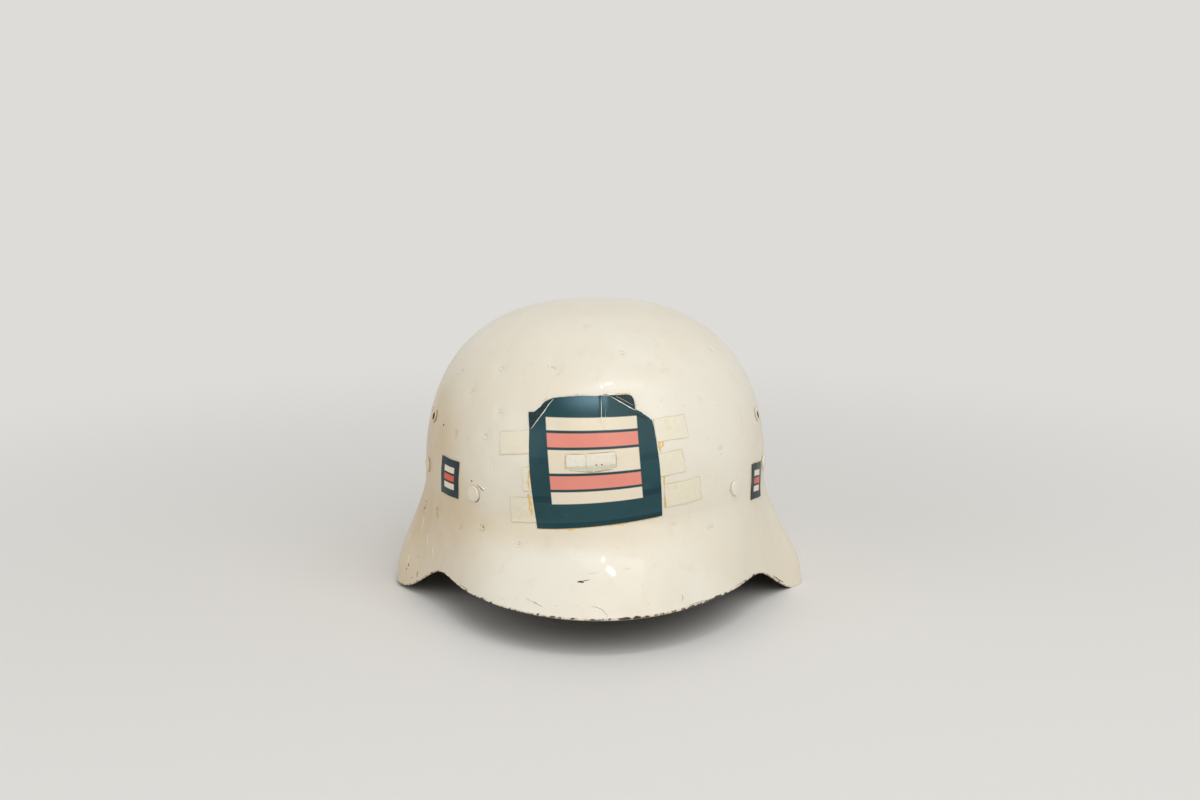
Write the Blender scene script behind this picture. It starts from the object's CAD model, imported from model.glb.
# %% [markdown]
# # A painted steel helmet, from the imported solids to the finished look
# The solids arrive as a fixed frame: each one already stands in its place, in metres, and may not be
# moved. A lesson in dressing them then has two halves. The outside is what the photograph shows, and
# it is one big gloss-painted sheet with rivets, a bracket, stickers and old tape on it. The inside is
# leather, strap and spring steel, seen when the helmet is turned over.

import math

import bmesh
import bpy
import numpy as np
from mathutils import Matrix, Vector
from mathutils.kdtree import KDTree


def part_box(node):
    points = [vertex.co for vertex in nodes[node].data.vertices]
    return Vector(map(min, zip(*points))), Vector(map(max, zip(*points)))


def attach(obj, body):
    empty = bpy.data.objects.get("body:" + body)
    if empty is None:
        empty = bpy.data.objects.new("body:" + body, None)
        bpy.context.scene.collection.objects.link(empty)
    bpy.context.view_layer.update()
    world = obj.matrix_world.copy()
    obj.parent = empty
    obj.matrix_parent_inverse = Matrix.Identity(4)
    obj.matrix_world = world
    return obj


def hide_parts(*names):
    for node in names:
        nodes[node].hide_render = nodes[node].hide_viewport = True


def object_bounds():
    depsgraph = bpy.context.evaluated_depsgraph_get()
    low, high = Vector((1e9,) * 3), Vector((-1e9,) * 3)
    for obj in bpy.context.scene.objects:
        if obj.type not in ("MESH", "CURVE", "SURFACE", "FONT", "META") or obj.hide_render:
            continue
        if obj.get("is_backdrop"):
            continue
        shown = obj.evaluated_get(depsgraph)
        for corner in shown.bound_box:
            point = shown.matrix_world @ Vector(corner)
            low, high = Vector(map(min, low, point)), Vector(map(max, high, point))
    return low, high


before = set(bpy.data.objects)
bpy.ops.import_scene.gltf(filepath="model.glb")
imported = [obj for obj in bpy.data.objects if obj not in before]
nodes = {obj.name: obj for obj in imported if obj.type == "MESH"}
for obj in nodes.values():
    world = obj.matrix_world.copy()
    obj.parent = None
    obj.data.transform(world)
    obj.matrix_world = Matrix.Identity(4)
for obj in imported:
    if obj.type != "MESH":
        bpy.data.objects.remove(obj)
cad_box = [list(corner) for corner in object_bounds()]
print(len(nodes), "solids in the frame, from", cad_box[0], "to", cad_box[1])

# %% [markdown]
# ## The camera
# A camera that has to match a photograph is easiest to find from things whose real places are known,
# here the rim, the crown and the rivets. It stood 1.1 m from the middle of the helmet, a third of a
# metre above the table and 2 cm to the wearer's right, looking down by 11.7 degrees.

# %% Stand the camera where the photographer stood
CAMERA_AT = (-0.01922723, -1.09577733, 0.3349936)  # metres
LOOKS_DOWN, LOOKS_ASIDE = 11.686, -1.1518  # degrees
LENS, SENSOR = 56.55, 36  # mm


def placed(name, data):
    """A new object in the scene."""
    made = bpy.data.objects.new(name, data)
    bpy.context.scene.collection.objects.link(made)
    return made


camera = placed("camera", bpy.data.cameras.new("camera"))
camera.location = CAMERA_AT
camera.rotation_euler = (math.radians(90 - LOOKS_DOWN), 0, math.radians(LOOKS_ASIDE))
camera.data.lens, camera.data.sensor_width = LENS, SENSOR
bpy.context.scene.camera = camera
bpy.context.scene.view_settings.view_transform = "Standard"
print("camera is", round(camera.location.length, 3), "m from the middle of the footprint")

# %% [markdown]
# ## Small tools for materials
# A finish is built from a few layers: broad stains from slow noise, fine grain from quick noise, and
# masks that come from the surface itself. What a node gives out is wrapped, so that it can be added
# and multiplied like a number, and a material then reads like a recipe. Patterns read Object
# coordinates, in metres, which stay put when the camera moves.

# %% Building shader recipes
MM = 0.001


def colour(red, green, blue):
    """A colour as read off a picture, 0 to 255, turned into the linear values that shaders use."""
    values = [v / 255 for v in (red, green, blue)]
    return tuple(v / 12.92 if v <= 0.04045 else ((v + 0.055) / 1.055) ** 2.4 for v in values) + (1.0,)


class Value:
    """What a node gives out. It takes part in sums like a number."""

    def __init__(self, mix, socket):
        self.mix, self.socket = mix, socket

    def math(self, operation, *others):
        return self.mix.get("ShaderNodeMath", dict(enumerate((self, *others))), operation=operation)

    def __add__(self, other):
        return self.math("ADD", other)

    def __sub__(self, other):
        return self.math("SUBTRACT", other)

    def __mul__(self, other):
        return self.math("MULTIPLY", other)

    def __abs__(self):
        return self.math("ABSOLUTE")

    def most(self, other):
        return self.math("MAXIMUM", other)

    def span(self, low, high, to_low=0.0, to_high=1.0):
        """Runs from one number to another while the value runs from low to high, and stays within."""
        return self.mix.get("ShaderNodeMapRange", {0: self, 1: low, 2: high, 3: to_low, 4: to_high},
                            interpolation_type="SMOOTHSTEP")

    def between(self, low, high, soft=0.004):
        """1 while the value is between low and high, with a soft edge."""
        return self.span(low - soft, low + soft) * self.span(high + soft, high - soft)


class Recipe:
    """A node tree that is being filled, and the material that it belongs to."""

    def __init__(self, tree, material=None):
        self.tree, self.material = tree, material

    def fill(self, node, inputs):
        """Sets a node's inputs, each given as a number or as a Value."""
        for key, value in inputs.items():
            if isinstance(value, Value):
                self.tree.links.new(value.socket, node.inputs[key])
            else:
                node.inputs[key].default_value = value

    def add(self, kind, inputs=None, **settings):
        node = self.tree.nodes.new(kind)
        for key, value in settings.items():
            setattr(node, key, value)
        self.fill(node, inputs or {})
        return node

    def get(self, kind, inputs=None, out=0, **settings):
        """Adds a node and hands over one of its outputs."""
        return Value(self, self.add(kind, inputs, **settings).outputs[out])

    def split(self, vector):
        return [Value(self, part) for part in self.add("ShaderNodeSeparateXYZ", {0: vector}).outputs]

    def uv(self):
        return self.split(self.get("ShaderNodeUVMap", uv_map="surface"))

    def attribute(self, name, out="Fac"):
        return self.get("ShaderNodeAttribute", out=out, attribute_name=name)

    def noise(self, scale, detail, rough=0.5, stretch=None):
        place = self.place
        if stretch:
            place = self.get("ShaderNodeMapping", {"Vector": place, "Scale": stretch})
        return self.get("ShaderNodeTexNoise", {"Vector": place, "Scale": scale, "Detail": detail,
                                               "Roughness": rough}, "Fac")

    def cells(self, scale, feature):
        return self.get("ShaderNodeTexVoronoi", {"Vector": self.place, "Scale": scale}, "Distance",
                        feature=feature)

    def blend(self, share, under, over):
        """One colour, with a share of another over it. Plain ones are given from 0 to 255."""
        under, over = (colour(*tone) if isinstance(tone, tuple) and len(tone) == 3 else tone
                       for tone in (under, over))
        return self.get("ShaderNodeMix", {0: share, 6: under, 7: over}, 2, data_type="RGBA")

    def bump(self, height, distance, strength=1.0, under=None):
        """A bump whose height is in metres when the pattern runs from 0 to 1."""
        more = {} if under is None else {"Normal": under}
        return self.get("ShaderNodeBump", {"Height": height, "Distance": distance,
                                           "Strength": strength, **more})

    def finish(self, tone, rough, normal=None, **more):
        """Fills the shader's sockets, an underscore standing for a space, and gives the material."""
        sockets = {"Base Color": tone, "Roughness": rough, "Normal": normal}
        sockets.update((name.replace("_", " "), value) for name, value in more.items())
        self.fill(self.tree.nodes["Principled BSDF"],
                  {name: value for name, value in sockets.items() if value is not None})
        return self.material


def finish_named(name):
    """The recipe of a new material."""
    material = bpy.data.materials.new(name)
    material.use_nodes = True
    mix = Recipe(material.node_tree, material)
    mix.place = mix.get("ShaderNodeTexCoord", out="Object")
    return mix


print("recipes can be written")

# %% [markdown]
# ## Soft light and a pale floor
# Lamps are area lamps, because a large lamp makes the wide soft highlights of a photo studio. Light
# thins out with the square of the distance, so each lamp's strength is given as a share of the level
# at which a white card square to it would come out white. The background is pale only for the camera
# and for mirror-like rays; the object itself is lit by a quieter world.

# %% Lamps, world and floor
BACKDROP = colour(222, 220, 216)
WHITE_CARD = 9.87  # energy that turns a card a metre away white
AIM = (0, 0, 0.08)
FLOOR_HALF, FLOOR_Z, GLOW_FROM, GLOW_TO = 40, -0.0001, 0.17, 0.75
LAMPS = [  # name, azimuth from the front, elevation, distance in m, size, share of white, tint
    ("key lamp", 27, 44, 2.3, (2.6, 2.2), 0.46, (1, 0.99, 0.97)),
    ("fill lamp", -58, 22, 2.4, (1.6, 1.4), 0.1, (1, 0.985, 0.96)),
    ("overhead strip", 14, 71.5, 2.0, (1.5, 0.26), 0.1, (1, 1, 1)),
    ("spark over the visor", 23.4, 73, 1.8, (0.14, 0.03), 0.03, (1, 1, 1)),
    ("spark over the dome", 9, 71, 1.9, (0.035, 0.05), 0.016, (1, 1, 1))]
for name, azimuth, elevation, distance, size, share, tint in LAMPS:
    a, e = math.radians(azimuth), math.radians(elevation)
    away = Vector((math.sin(a) * math.cos(e), -math.cos(a) * math.cos(e), math.sin(e)))
    data = bpy.data.lights.new(name, "AREA")
    data.shape, data.color = "RECTANGLE", tint
    data.size, data.size_y = size
    data.energy = WHITE_CARD * distance * distance * share
    lamp = placed(name, data)
    lamp.location = Vector(AIM) + away * distance
    lamp.rotation_euler = away.to_track_quat("Z", "Y").to_euler()


def straight(mix, *rays):
    """1 for the given kinds of ray, 0 for the light that falls on things."""
    first, *others = (mix.get("ShaderNodeLightPath", out=f"Is {ray} Ray") for ray in rays)
    for other in others:
        first = first.most(other)
    return first


world = bpy.data.worlds.new("studio")
bpy.context.scene.world = world
world.use_nodes = True
world.node_tree.nodes.clear()
sky = Recipe(world.node_tree)
pale = sky.get("ShaderNodeBackground", {"Color": BACKDROP, "Strength": 1.0})
dim = sky.get("ShaderNodeBackground", {"Color": (1.0, 0.985, 0.96, 1), "Strength": 0.42})
seen = straight(sky, "Camera", "Glossy", "Transmission")
sky.add("ShaderNodeOutputWorld", {0: sky.get("ShaderNodeMixShader", {0: seen, 1: dim, 2: pale})})

floor_mesh = bpy.data.meshes.new("floor")
floor_mesh.from_pydata([(x * FLOOR_HALF, y * FLOOR_HALF, FLOOR_Z) for x, y in
                        ((-1, -1), (1, -1), (1, 1), (-1, 1))], [], [(0, 1, 2, 3)])
mix = finish_named("pale floor")
floor_mesh.materials.append(mix.finish((0.84, 0.83, 0.81, 1), 0.75))
painted = Value(mix, mix.tree.nodes["Principled BSDF"].outputs[0])
glow = mix.get("ShaderNodeEmission", {"Color": BACKDROP, "Strength": 1.0})
far = mix.get("ShaderNodeVectorMath", {0: mix.place}, "Value", operation="LENGTH")
share = far.span(GLOW_FROM, GLOW_TO) * straight(mix, "Camera", "Glossy")
both = mix.get("ShaderNodeMixShader", {0: share, 1: painted, 2: glow})
mix.fill(mix.tree.nodes["Material Output"], {0: both})
placed("floor", floor_mesh)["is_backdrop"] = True
print(len(LAMPS), "lamps, one world and a pale floor")

# %% [markdown]
# ## The shape's rule, again
# The source of the solids builds the shell from a few numbers: a dome that is a superellipse from
# waist to crown, and a flare that leaves the waist softly and runs out to a rim whose height and
# reach change at the notches over the ears. Repeating that rule here, with the same numbers, lets
# every patch, scratch and dent be laid exactly on the steel. An angle u runs round the shell, 0 at
# the visor and 90 at the wearer's left ear, and z is the height above the table in millimetres.

# %% The shell's sizes, in mm and degrees
box_low, box_high = (np.array(corner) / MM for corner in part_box("shell"))
SHELL_HEIGHT = float(box_high[2])
DOME_WIDTH, DOME_FRONT, DOME_REAR = 202.0, 114.5, 112.5
WAIST, WALL = 65.5, 1.2
VISOR_REACH, VISOR_HALF, VISOR_RISE = 155.5, 98.5, 21.5
EAR_HALF, EAR_REACH, NAPE_REACH = 122.0, 139.0, 144.0
NOTCH_ANGLE, EAR_ANGLE, SPREAD_ANGLE, SPREAD_LEAD = 63.0, 79.0, 86.5, 5.0
BROW_ANGLE, NOTCH_DIP, EDGE_ARCH = 35.0, 1.0, 2.0
SOFTNESS, EAR_BULGE = 0.35, 0.85
BENT_ASIDE = 2.0  # the used rim has been bent this far to the wearer's left
SIDE_POWER, FRONT_POWER, REAR_POWER = 2.45, 2.25, 2.3
DOME_HALF, RISE, DOME_Y = DOME_WIDTH / 2, SHELL_HEIGHT - WAIST, (VISOR_REACH - NAPE_REACH) / 2


def smooth(low, high, x):
    t = np.clip((np.asarray(x, float) - low) / (high - low), 0, 1)
    return t * t * (3 - 2 * t)


def bell(x, middle, width):
    return np.exp(-(((x - middle) / width) ** 2))


def wrapped(u):
    return (np.asarray(u, float) + 180) % 360 - 180


def depth_of(u):
    return np.where(np.cos(np.radians(u)) > 0, DOME_FRONT, DOME_REAR)


def power_of(u):
    c = np.cos(np.radians(u))
    return SIDE_POWER + (np.where(c > 0, FRONT_POWER, REAR_POWER) - SIDE_POWER) * c * c


def rim_height(u):
    """Height of the rim, with the bends that use has given its corners."""
    a = np.abs(wrapped(u))
    back = np.clip((a - EAR_ANGLE) / (180 - EAR_ANGLE), 0, 1)
    visor = VISOR_RISE - NOTCH_DIP * smooth(BROW_ANGLE, NOTCH_ANGLE, a)
    bent_up = np.where(wrapped(u) < 0, 2.0 * bell(a, 76, 20) + 1.8 * bell(a, 93, 10),
                       -0.7 * bell(a, 70.6, 11) - 1.1 * bell(a, 90, 10))
    return (visor * (1 - smooth(NOTCH_ANGLE, EAR_ANGLE, a)) + EDGE_ARCH * np.sin(np.pi * back) ** 2
            + bent_up * smooth(NOTCH_ANGLE - 30, NOTCH_ANGLE, a))


def fuller(a, right, s, g):
    """How much fuller, in mm, use has made the rim's corners, less the tuck of their lips."""
    waist = np.where(right, 0.3, 1.0) * bell(s, 0.78, 0.13) * smooth(66, 84, a)
    corner = np.where(right, 1.8, 3.0) * g * bell(a, 80.5, 4.5)
    lip = np.where(right, 2.2, 2.4) * smooth(0.84, 1.0, s) * smooth(79, 88, a)
    return (waist + corner - lip) * smooth(125, 100, a)


def on_shell(u, z):
    """Points on the smooth outer face, in mm, for arrays of angles and heights."""
    u, z = np.broadcast_arrays(np.asarray(u, float), np.asarray(z, float))
    a, angle = np.abs(wrapped(u)), np.radians(u)
    share = smooth(NOTCH_ANGLE - SPREAD_LEAD, SPREAD_ANGLE, a)
    n = power_of(u)
    r = (1 - np.clip((z - WAIST) / RISE, 0, 1) ** n) ** (1 / n)
    s = np.clip((WAIST - z) / (WAIST - rim_height(u)), 0, 1)
    g = (np.sqrt(s * s + SOFTNESS**2) - SOFTNESS) / (np.sqrt(1 + SOFTNESS**2) - SOFTNESS)
    g = g + EAR_BULGE * share * s * s * (1 - s)
    rim_half = VISOR_HALF + (EAR_HALF - VISOR_HALF) * share
    front_reach = VISOR_REACH + (EAR_REACH - VISOR_REACH) * share
    rim_reach = np.where(np.cos(angle) > 0, front_reach, NAPE_REACH)
    flare = DOME_HALF + (rim_half - DOME_HALF) * g + fuller(a, wrapped(u) < 0, s, g)
    half = np.where(z >= WAIST, DOME_HALF * r, flare)
    deep = np.where(z >= WAIST, depth_of(u) * r, depth_of(u) + (rim_reach - depth_of(u)) * g)
    aside = BENT_ASIDE * np.where(z >= WAIST, 0, g) * smooth(30, 75, a)
    return np.stack([half * np.sin(angle) + aside, DOME_Y - deep * np.cos(angle), z], -1)


def unit(v):
    return v / np.maximum(np.linalg.norm(v, axis=-1, keepdims=True), 1e-12)


def square_off(u, z):
    """Outward normals of the smooth outer face."""
    u, z = np.broadcast_arrays(np.asarray(u, float), np.asarray(z, float))
    return unit(np.cross(on_shell(u + 0.5, z) - on_shell(u - 0.5, z),
                         on_shell(u, z + 0.4) - on_shell(u, z - 0.4)))


print("shell is", np.round(box_high - box_low, 1), "mm, its crown at", round(SHELL_HEIGHT, 1))

# %% [markdown]
# ## Dents
# Long use leaves shallow dents and knocks. Each one is a small bell-shaped dip, given by its
# place, depth and radius, and a point sinks by the sum of all the dips near it. The ones on the front
# stand where the photograph shows them. The rest are scattered with a fixed seed, so that the back
# has been used as hard as the front. One slow wave takes the machine-like evenness off the dome.

# %% Dips in the steel
SEEN_DENTS = [  # u, z, depth, radius
    (-20.25, 143.5, 0.85, 3.4), (-17.5, 140.0, 0.6, 2.2), (-43.75, 139.0, 0.7, 3.0),
    (-53.5, 125.0, 0.9, 2.8), (12.5, 148.75, 0.8, 1.9), (-55.5, 101.0, 0.7, 2.4),
    (-40.5, 104.5, 0.7, 2.6), (-36.5, 117.5, 0.6, 2.2), (22.25, 141.75, 0.5, 4.0),
    (44.25, 95.0, 0.55, 2.4), (24.0, 60.0, 0.5, 1.9), (38.25, 54.0, 0.5, 2.0),
    (-65.0, 52.0, -0.6, 2.0), (-39.75, 54.5, 0.6, 1.9), (-26.0, 50.0, 0.5, 2.0),
    (-51.0, 51.25, 0.55, 2.2), (-36.0, 88.75, 0.3, 2.6), (-74.0, 20.0, 0.5, 2.4),
    (-77.0, 40.0, 0.6, 5.0), (-69.0, 30.0, -0.35, 4.0), (-30.0, 128.0, 0.4, 2.6),
    (-47.0, 92.0, 0.45, 2.4), (-66.0, 88.0, 0.4, 3.0), (-60.0, 60.0, 0.4, 2.6)]
rng = np.random.default_rng(41)
FAR_DENTS = list(zip(rng.uniform(52, 278, 46), rng.uniform(30, 158, 46),
                     rng.uniform(0.25, 0.8, 46), rng.uniform(1.8, 4.5, 46)))
DIPS = [(on_shell(u, z), d, r) for u, z, d, r in SEEN_DENTS + FAR_DENTS]


def sunk(points):
    """How far the steel lies below the smooth face at each point, in mm."""
    x, y, z = (np.asarray(points)[..., k] for k in range(3))
    total = 0.12 * np.sin(x / 31 + 0.7) * np.cos(y / 27 - 0.4) + 0.08 * np.sin(z / 19 + x / 23)
    total = total * smooth(0, 30, z)
    for centre, depth, radius in DIPS:
        away = np.sum((points - centre) ** 2, axis=-1)
        total = total + depth * np.exp(-away / (2 * radius * radius))
    return total


def laid(u, z, lift=0.0):
    """Points lying on the dented steel, raised by a lift, in mm."""
    base = on_shell(u, z)
    return base + (np.asarray(lift)[..., None] - sunk(base)[..., None]) * square_off(u, z)


def beside(spot, p, q, turn=0.0, upright=False):
    """Angle and height of a point p mm along the steel and q mm up it from a spot (u, z)."""
    u, z = spot
    a = math.radians(turn)
    x = np.asarray(p, float) * math.cos(a) - np.asarray(q, float) * math.sin(a)
    y = np.asarray(p, float) * math.sin(a) + np.asarray(q, float) * math.cos(a)
    per_degree = np.linalg.norm(on_shell(u + 0.5, z) - on_shell(u - 0.5, z))
    per_mm = 1.0 if upright else np.linalg.norm(on_shell(u, z + 0.4) - on_shell(u, z - 0.4)) / 0.8
    return u + x / per_degree, z + y / per_mm


print(len(SEEN_DENTS), "dents from the photograph and", len(FAR_DENTS), "others")

# %% [markdown]
# ## Small tools for meshes
# Everything that is laid on the shell is a thin closed slab: a grid of points on top, the same grid a
# little lower, and a strip round the border. A lathe makes what is round, and a sweep carries a
# closed outline along a line. All of them work in millimetres and hand over metres.

# %% Making meshes
def piece_from(name, points, faces, finishes, uv=None, sharp=40.0):
    """A mesh piece at the world origin, smooth but for edges sharper than the given angle."""
    mesh = bpy.data.meshes.new(name)
    mesh.from_pydata((np.asarray(points, float).reshape(-1, 3) * MM).tolist(), [], faces)
    for finish in finishes:
        mesh.materials.append(finish)
    if uv is not None:
        corners = np.empty(len(mesh.loops), np.int32)
        mesh.loops.foreach_get("vertex_index", corners)
        layer = mesh.uv_layers.new(name="surface")
        layer.data.foreach_set("uv", np.asarray(uv, np.float32)[corners].ravel())
    mesh.update()
    mesh.shade_smooth()
    mesh.set_sharp_from_angle(angle=math.radians(sharp))
    return placed(name, mesh)


def numbers_on(piece, name, values):
    """Writes a number or a vector onto every point of a piece."""
    values = np.asarray(values, np.float32)
    kind, key = ("FLOAT_VECTOR", "vector") if values.ndim > 1 else ("FLOAT", "value")
    piece.data.attributes.new(name, kind, "POINT").data.foreach_set(key, values.ravel())


def slab_parts(top, bottom):
    """Points and faces of a closed slab between two grids of the same shape."""
    rows, cols = top.shape[:2]
    half = rows * cols
    at = np.arange(half).reshape(rows, cols)
    a, b, c, d = at[:-1, :-1], at[:-1, 1:], at[1:, 1:], at[1:, :-1]
    faces = np.stack([a, d, c, b], -1).reshape(-1, 4).tolist()
    faces += (np.stack([a, b, c, d], -1).reshape(-1, 4) + half).tolist()
    ring = np.concatenate([at[0, :], at[1:, -1], at[-1, -2::-1], at[-2:0:-1, 0]])
    following = np.roll(ring, -1)
    faces += np.stack([ring, following, following + half, ring + half], -1).tolist()
    return np.concatenate([top.reshape(-1, 3), bottom.reshape(-1, 3)]), faces


def lathe_parts(profile, steps):
    """Points and faces of a profile of (radius, height) turned about z, from axis to axis."""
    turn = np.linspace(0, 2 * math.pi, steps, endpoint=False)
    rings = [np.stack([radius * np.cos(turn), radius * np.sin(turn), np.full(steps, height)], -1)
             for radius, height in profile[1:-1]]
    points = np.concatenate([*rings, [[0, 0, profile[0][1]], [0, 0, profile[-1][1]]]])
    first, last, end, faces = len(points) - 2, len(points) - 1, (len(rings) - 1) * steps, []
    for k in range(steps):
        n = (k + 1) % steps
        faces += [[first, k, n]]
        faces += [[i + k, i + steps + k, i + steps + n, i + n] for i in range(0, end, steps)]
        faces += [[last, end + n, end + k]]
    return points, faces


def swept_parts(rings, closed=False):
    """Points and faces of a bar through rings of points, capped unless it closes on itself."""
    rings = np.asarray(rings)
    count, sides = rings.shape[:2]
    at = np.arange(count * sides).reshape(count, sides)
    beside_it = np.roll(at, -1, axis=1)
    faces = np.stack([at, beside_it, np.roll(beside_it, -1, axis=0), np.roll(at, -1, axis=0)], -1)
    ends = [] if closed else [at[0, ::-1].tolist(), at[-1].tolist()]
    return rings.reshape(-1, 3), faces[:len(faces) - bool(ends)].reshape(-1, 4).tolist() + ends


def rounded_outline(width, thickness, corner, steps=4):
    """Closed outline of a rounded bar, as (across, up) pairs, starting at its lower right corner."""
    w, t = width / 2 - corner, thickness / 2 - corner
    outline = []
    for sx, sy, start in ((1, -1, -90), (1, 1, 0), (-1, 1, 90), (-1, -1, 180)):
        for k in range(steps + 1):
            a = math.radians(start + 90 * k / steps)
            outline.append((sx * w + corner * math.cos(a), sy * t + corner * math.sin(a)))
    return np.array(outline)


def joined(parts):
    """One list of points and one of faces from several."""
    points, faces, start = [], [], 0
    for some_points, some_faces in parts:
        points.append(np.asarray(some_points, float).reshape(-1, 3))
        faces += [[i + start for i in face] for face in some_faces]
        start += len(points[-1])
    return np.concatenate(points), faces


def turned_right(piece, merge=True):
    """Points a piece's faces outwards, after its doubles are merged."""
    shape = bmesh.new()
    shape.from_mesh(piece.data)
    if merge:
        bmesh.ops.remove_doubles(shape, verts=shape.verts, dist=1e-7)
    bmesh.ops.recalc_face_normals(shape, faces=shape.faces)
    shape.to_mesh(piece.data)
    shape.free()
    return piece


def settled(piece):
    """Turns a piece's live modifiers into its plain mesh, and takes them off."""
    graph = bpy.context.evaluated_depsgraph_get()
    mesh = bpy.data.meshes.new_from_object(piece.evaluated_get(graph))
    piece.modifiers.clear()
    piece.data = mesh
    return piece


def cut_by(piece, cutter):
    """Takes a closed cutter out of a closed piece, and removes the cutter."""
    blade = piece.modifiers.new("cut", "BOOLEAN")
    blade.operation, blade.solver, blade.object = "DIFFERENCE", "MANIFOLD", cutter
    settled(piece)
    bpy.data.objects.remove(cutter)


def mounted(piece, body, slot, *replaced):
    """Ends a piece: its body, its finish in the record, and the solids that it stands for."""
    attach(piece, body)
    if replaced:
        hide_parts(*replaced)
    print(piece.name, "has", sum(len(p.vertices) - 2 for p in piece.data.polygons), "triangles")


print("mesh helpers ready")

# %% [markdown]
# ## Cream enamel
# The helmet was brushed over with thick cream enamel, which has yellowed. Close up it is never one
# colour: the skirt is dingier than the crown, grime sits in the soft crease at the waist, tiny specks
# of dust were painted in, and rubbing has dulled some patches of the gloss. The relief has two
# scales, a fine orange peel and slow brush waves that make a highlight's edge wobble.

# %% The enamel's layers
def enamelled(name):
    """A recipe that starts with the cream enamel: its colour, roughness and relief, before chips."""
    mix = finish_named(name)
    x, y, z = mix.split(mix.place)
    tone = mix.blend(mix.noise(14, 4).span(0.35, 0.68), (242, 237, 223), (237, 229, 211))
    left = x.span(-0.05, -0.108, 0.0, 0.95) * z.span(0.012, 0.06, 0.6, 1.0)
    left = left * y.span(-0.02, 0.08, 1.0, 0.5)
    right = x.span(0.072, 0.112, 0.0, 0.36) * z.span(0.02, 0.08, 0.3, 1.0)
    sides = left.most(right).most(y.span(0.02, 0.12, 0.0, 0.3)) * z.span(0.165, 0.09)
    sides = sides * mix.noise(26, 3).span(0.3, 0.7, 0.8, 1.15)
    crease = abs(z - 0.057).span(0.014, 0.0) * x.span(0.055, 0.0, 0.04, 0.4)
    smear = mix.noise(95, 5, 0.62, stretch=(1, 1, 0.25)).span(0.56, 0.78, 0.0, 0.24)
    specks = mix.cells(210, "F1").span(0.1, 0.05) * mix.noise(60, 2).span(0.56, 0.62) * 0.4
    tone = mix.blend(sides, tone, (205, 177, 128))
    tone = mix.blend(crease, tone, (212, 192, 156))
    tone = mix.blend(smear, tone, (214, 196, 160))
    tone = mix.blend(specks, tone, (150, 132, 100))
    waves = mix.bump(mix.noise(120, 2, stretch=(1, 1, 0.45)), 0.00022, 0.55)
    knocks = mix.bump(mix.noise(210, 2).span(0.6, 0.72), 0.00022, 0.45, waves)
    peel = mix.bump(mix.noise(780, 2), 0.00005, 0.5, knocks)
    return mix, tone, mix.noise(38, 4).span(0.35, 0.7, 0.33, 0.46), peel


COAT = {"Coat_Weight": 0.3, "Coat_Roughness": 0.05}
GLOSS = {**COAT, "Specular_IOR_Level": 0.42}
mix, tone, rough, normal = enamelled("cream enamel")
enamel = mix.finish(tone, rough, normal, **GLOSS)
print("enamel without chips:", len(mix.tree.nodes), "nodes")

# %% [markdown]
# ## Chips along the edge
# Enamel breaks first where the sheet ends. The mesh carries two numbers for this at every point: how
# far it is from the raw edge, and how battered that stretch of the edge is. The shader compares them
# with a fine noise, so a chip gets a ragged outline that no mesh could hold, and the old dark primer
# shows inside it. The chip is also a step down in the relief, and it is matt.

# %% Enamel that is chipped at the rim
mix, tone, rough, normal = enamelled("cream enamel, worn at the rim")
ragged = (mix.noise(420, 4, 0.65) - 0.5) * 2.0
inside = ragged + mix.attribute("battered") - mix.attribute("edge")
chip, halo = inside.span(0.0, 0.16), inside.span(-0.4, 0.0, 0.0, 0.4)
dark = mix.blend(mix.noise(900, 3).span(0.45, 0.62), (40, 36, 33), (74, 62, 50))
tone = mix.blend(chip, mix.blend(halo, tone, (196, 172, 130)), dark)
step = mix.bump(chip * -1.0 + 1.0, 0.00025, 0.8, normal)
worn_enamel = mix.finish(tone, chip * 0.4 + rough, step, **GLOSS)

mix = finish_named("old dark paint inside")
slow = mix.noise(22, 5, 0.6)
tone = mix.blend(slow.span(0.35, 0.7), (62, 62, 56), (82, 79, 68))
rust = mix.noise(130, 5, 0.7).span(0.58, 0.7) * mix.noise(31, 3).span(0.5, 0.62)
tone = mix.blend(rust, tone, (104, 66, 42))
overspray = mix.attribute("edge") + mix.noise(160, 3) * 12.0
primer = mix.finish(mix.blend(overspray.span(9.5, 4.0), tone, (222, 210, 184)),
                    slow.span(0.3, 0.7, 0.42, 0.62),
                    mix.bump(mix.noise(600, 3), 0.00006, 0.6))
print("worn enamel and the dark inside are ready")

# %% [markdown]
# ## The shell
# One closed sheet of steel makes the helmet: an outer face, a rounded edge and an inner face 1.2 mm
# below. Rows run from the crown down, closer together near the rim where the chips need them, and
# the columns run all the way round. The rule above gives each point, and the dents move it.

# %% Rows and columns of the outer face
COLUMNS = 540
around = np.linspace(-180, 180, COLUMNS, endpoint=False)
DOME_ROWS, FLARE_ROWS = 92, 46
tilt = np.linspace(0, 90, DOME_ROWS + 1)[1:]
dome_z = WAIST + RISE * np.cos(np.radians(tilt))[:, None].clip(0) ** (2 / power_of(around))[None, :]
fall = 1 - (1 - np.arange(1, FLARE_ROWS + 1) / FLARE_ROWS) ** 1.6
flare_z = WAIST + (rim_height(around)[None, :] - WAIST) * fall[:, None]
outer_z = np.concatenate([dome_z, flare_z])
smooth_face = on_shell(np.broadcast_to(around, outer_z.shape), outer_z)


def grid_normals(grid):
    """Outward normals of a grid that closes round its columns, with rows running down."""
    across = np.roll(grid, -1, axis=1) - np.roll(grid, 1, axis=1)
    up = np.empty_like(grid)
    up[1:-1] = grid[:-2] - grid[2:]
    up[0], up[-1] = grid[0] - grid[1], grid[-2] - grid[-1]
    return unit(np.cross(across, up))


normals = grid_normals(smooth_face)
outer = smooth_face - sunk(smooth_face)[..., None] * normals
print("outer face:", outer.shape[0], "rows of", outer.shape[1], "points")

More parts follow.
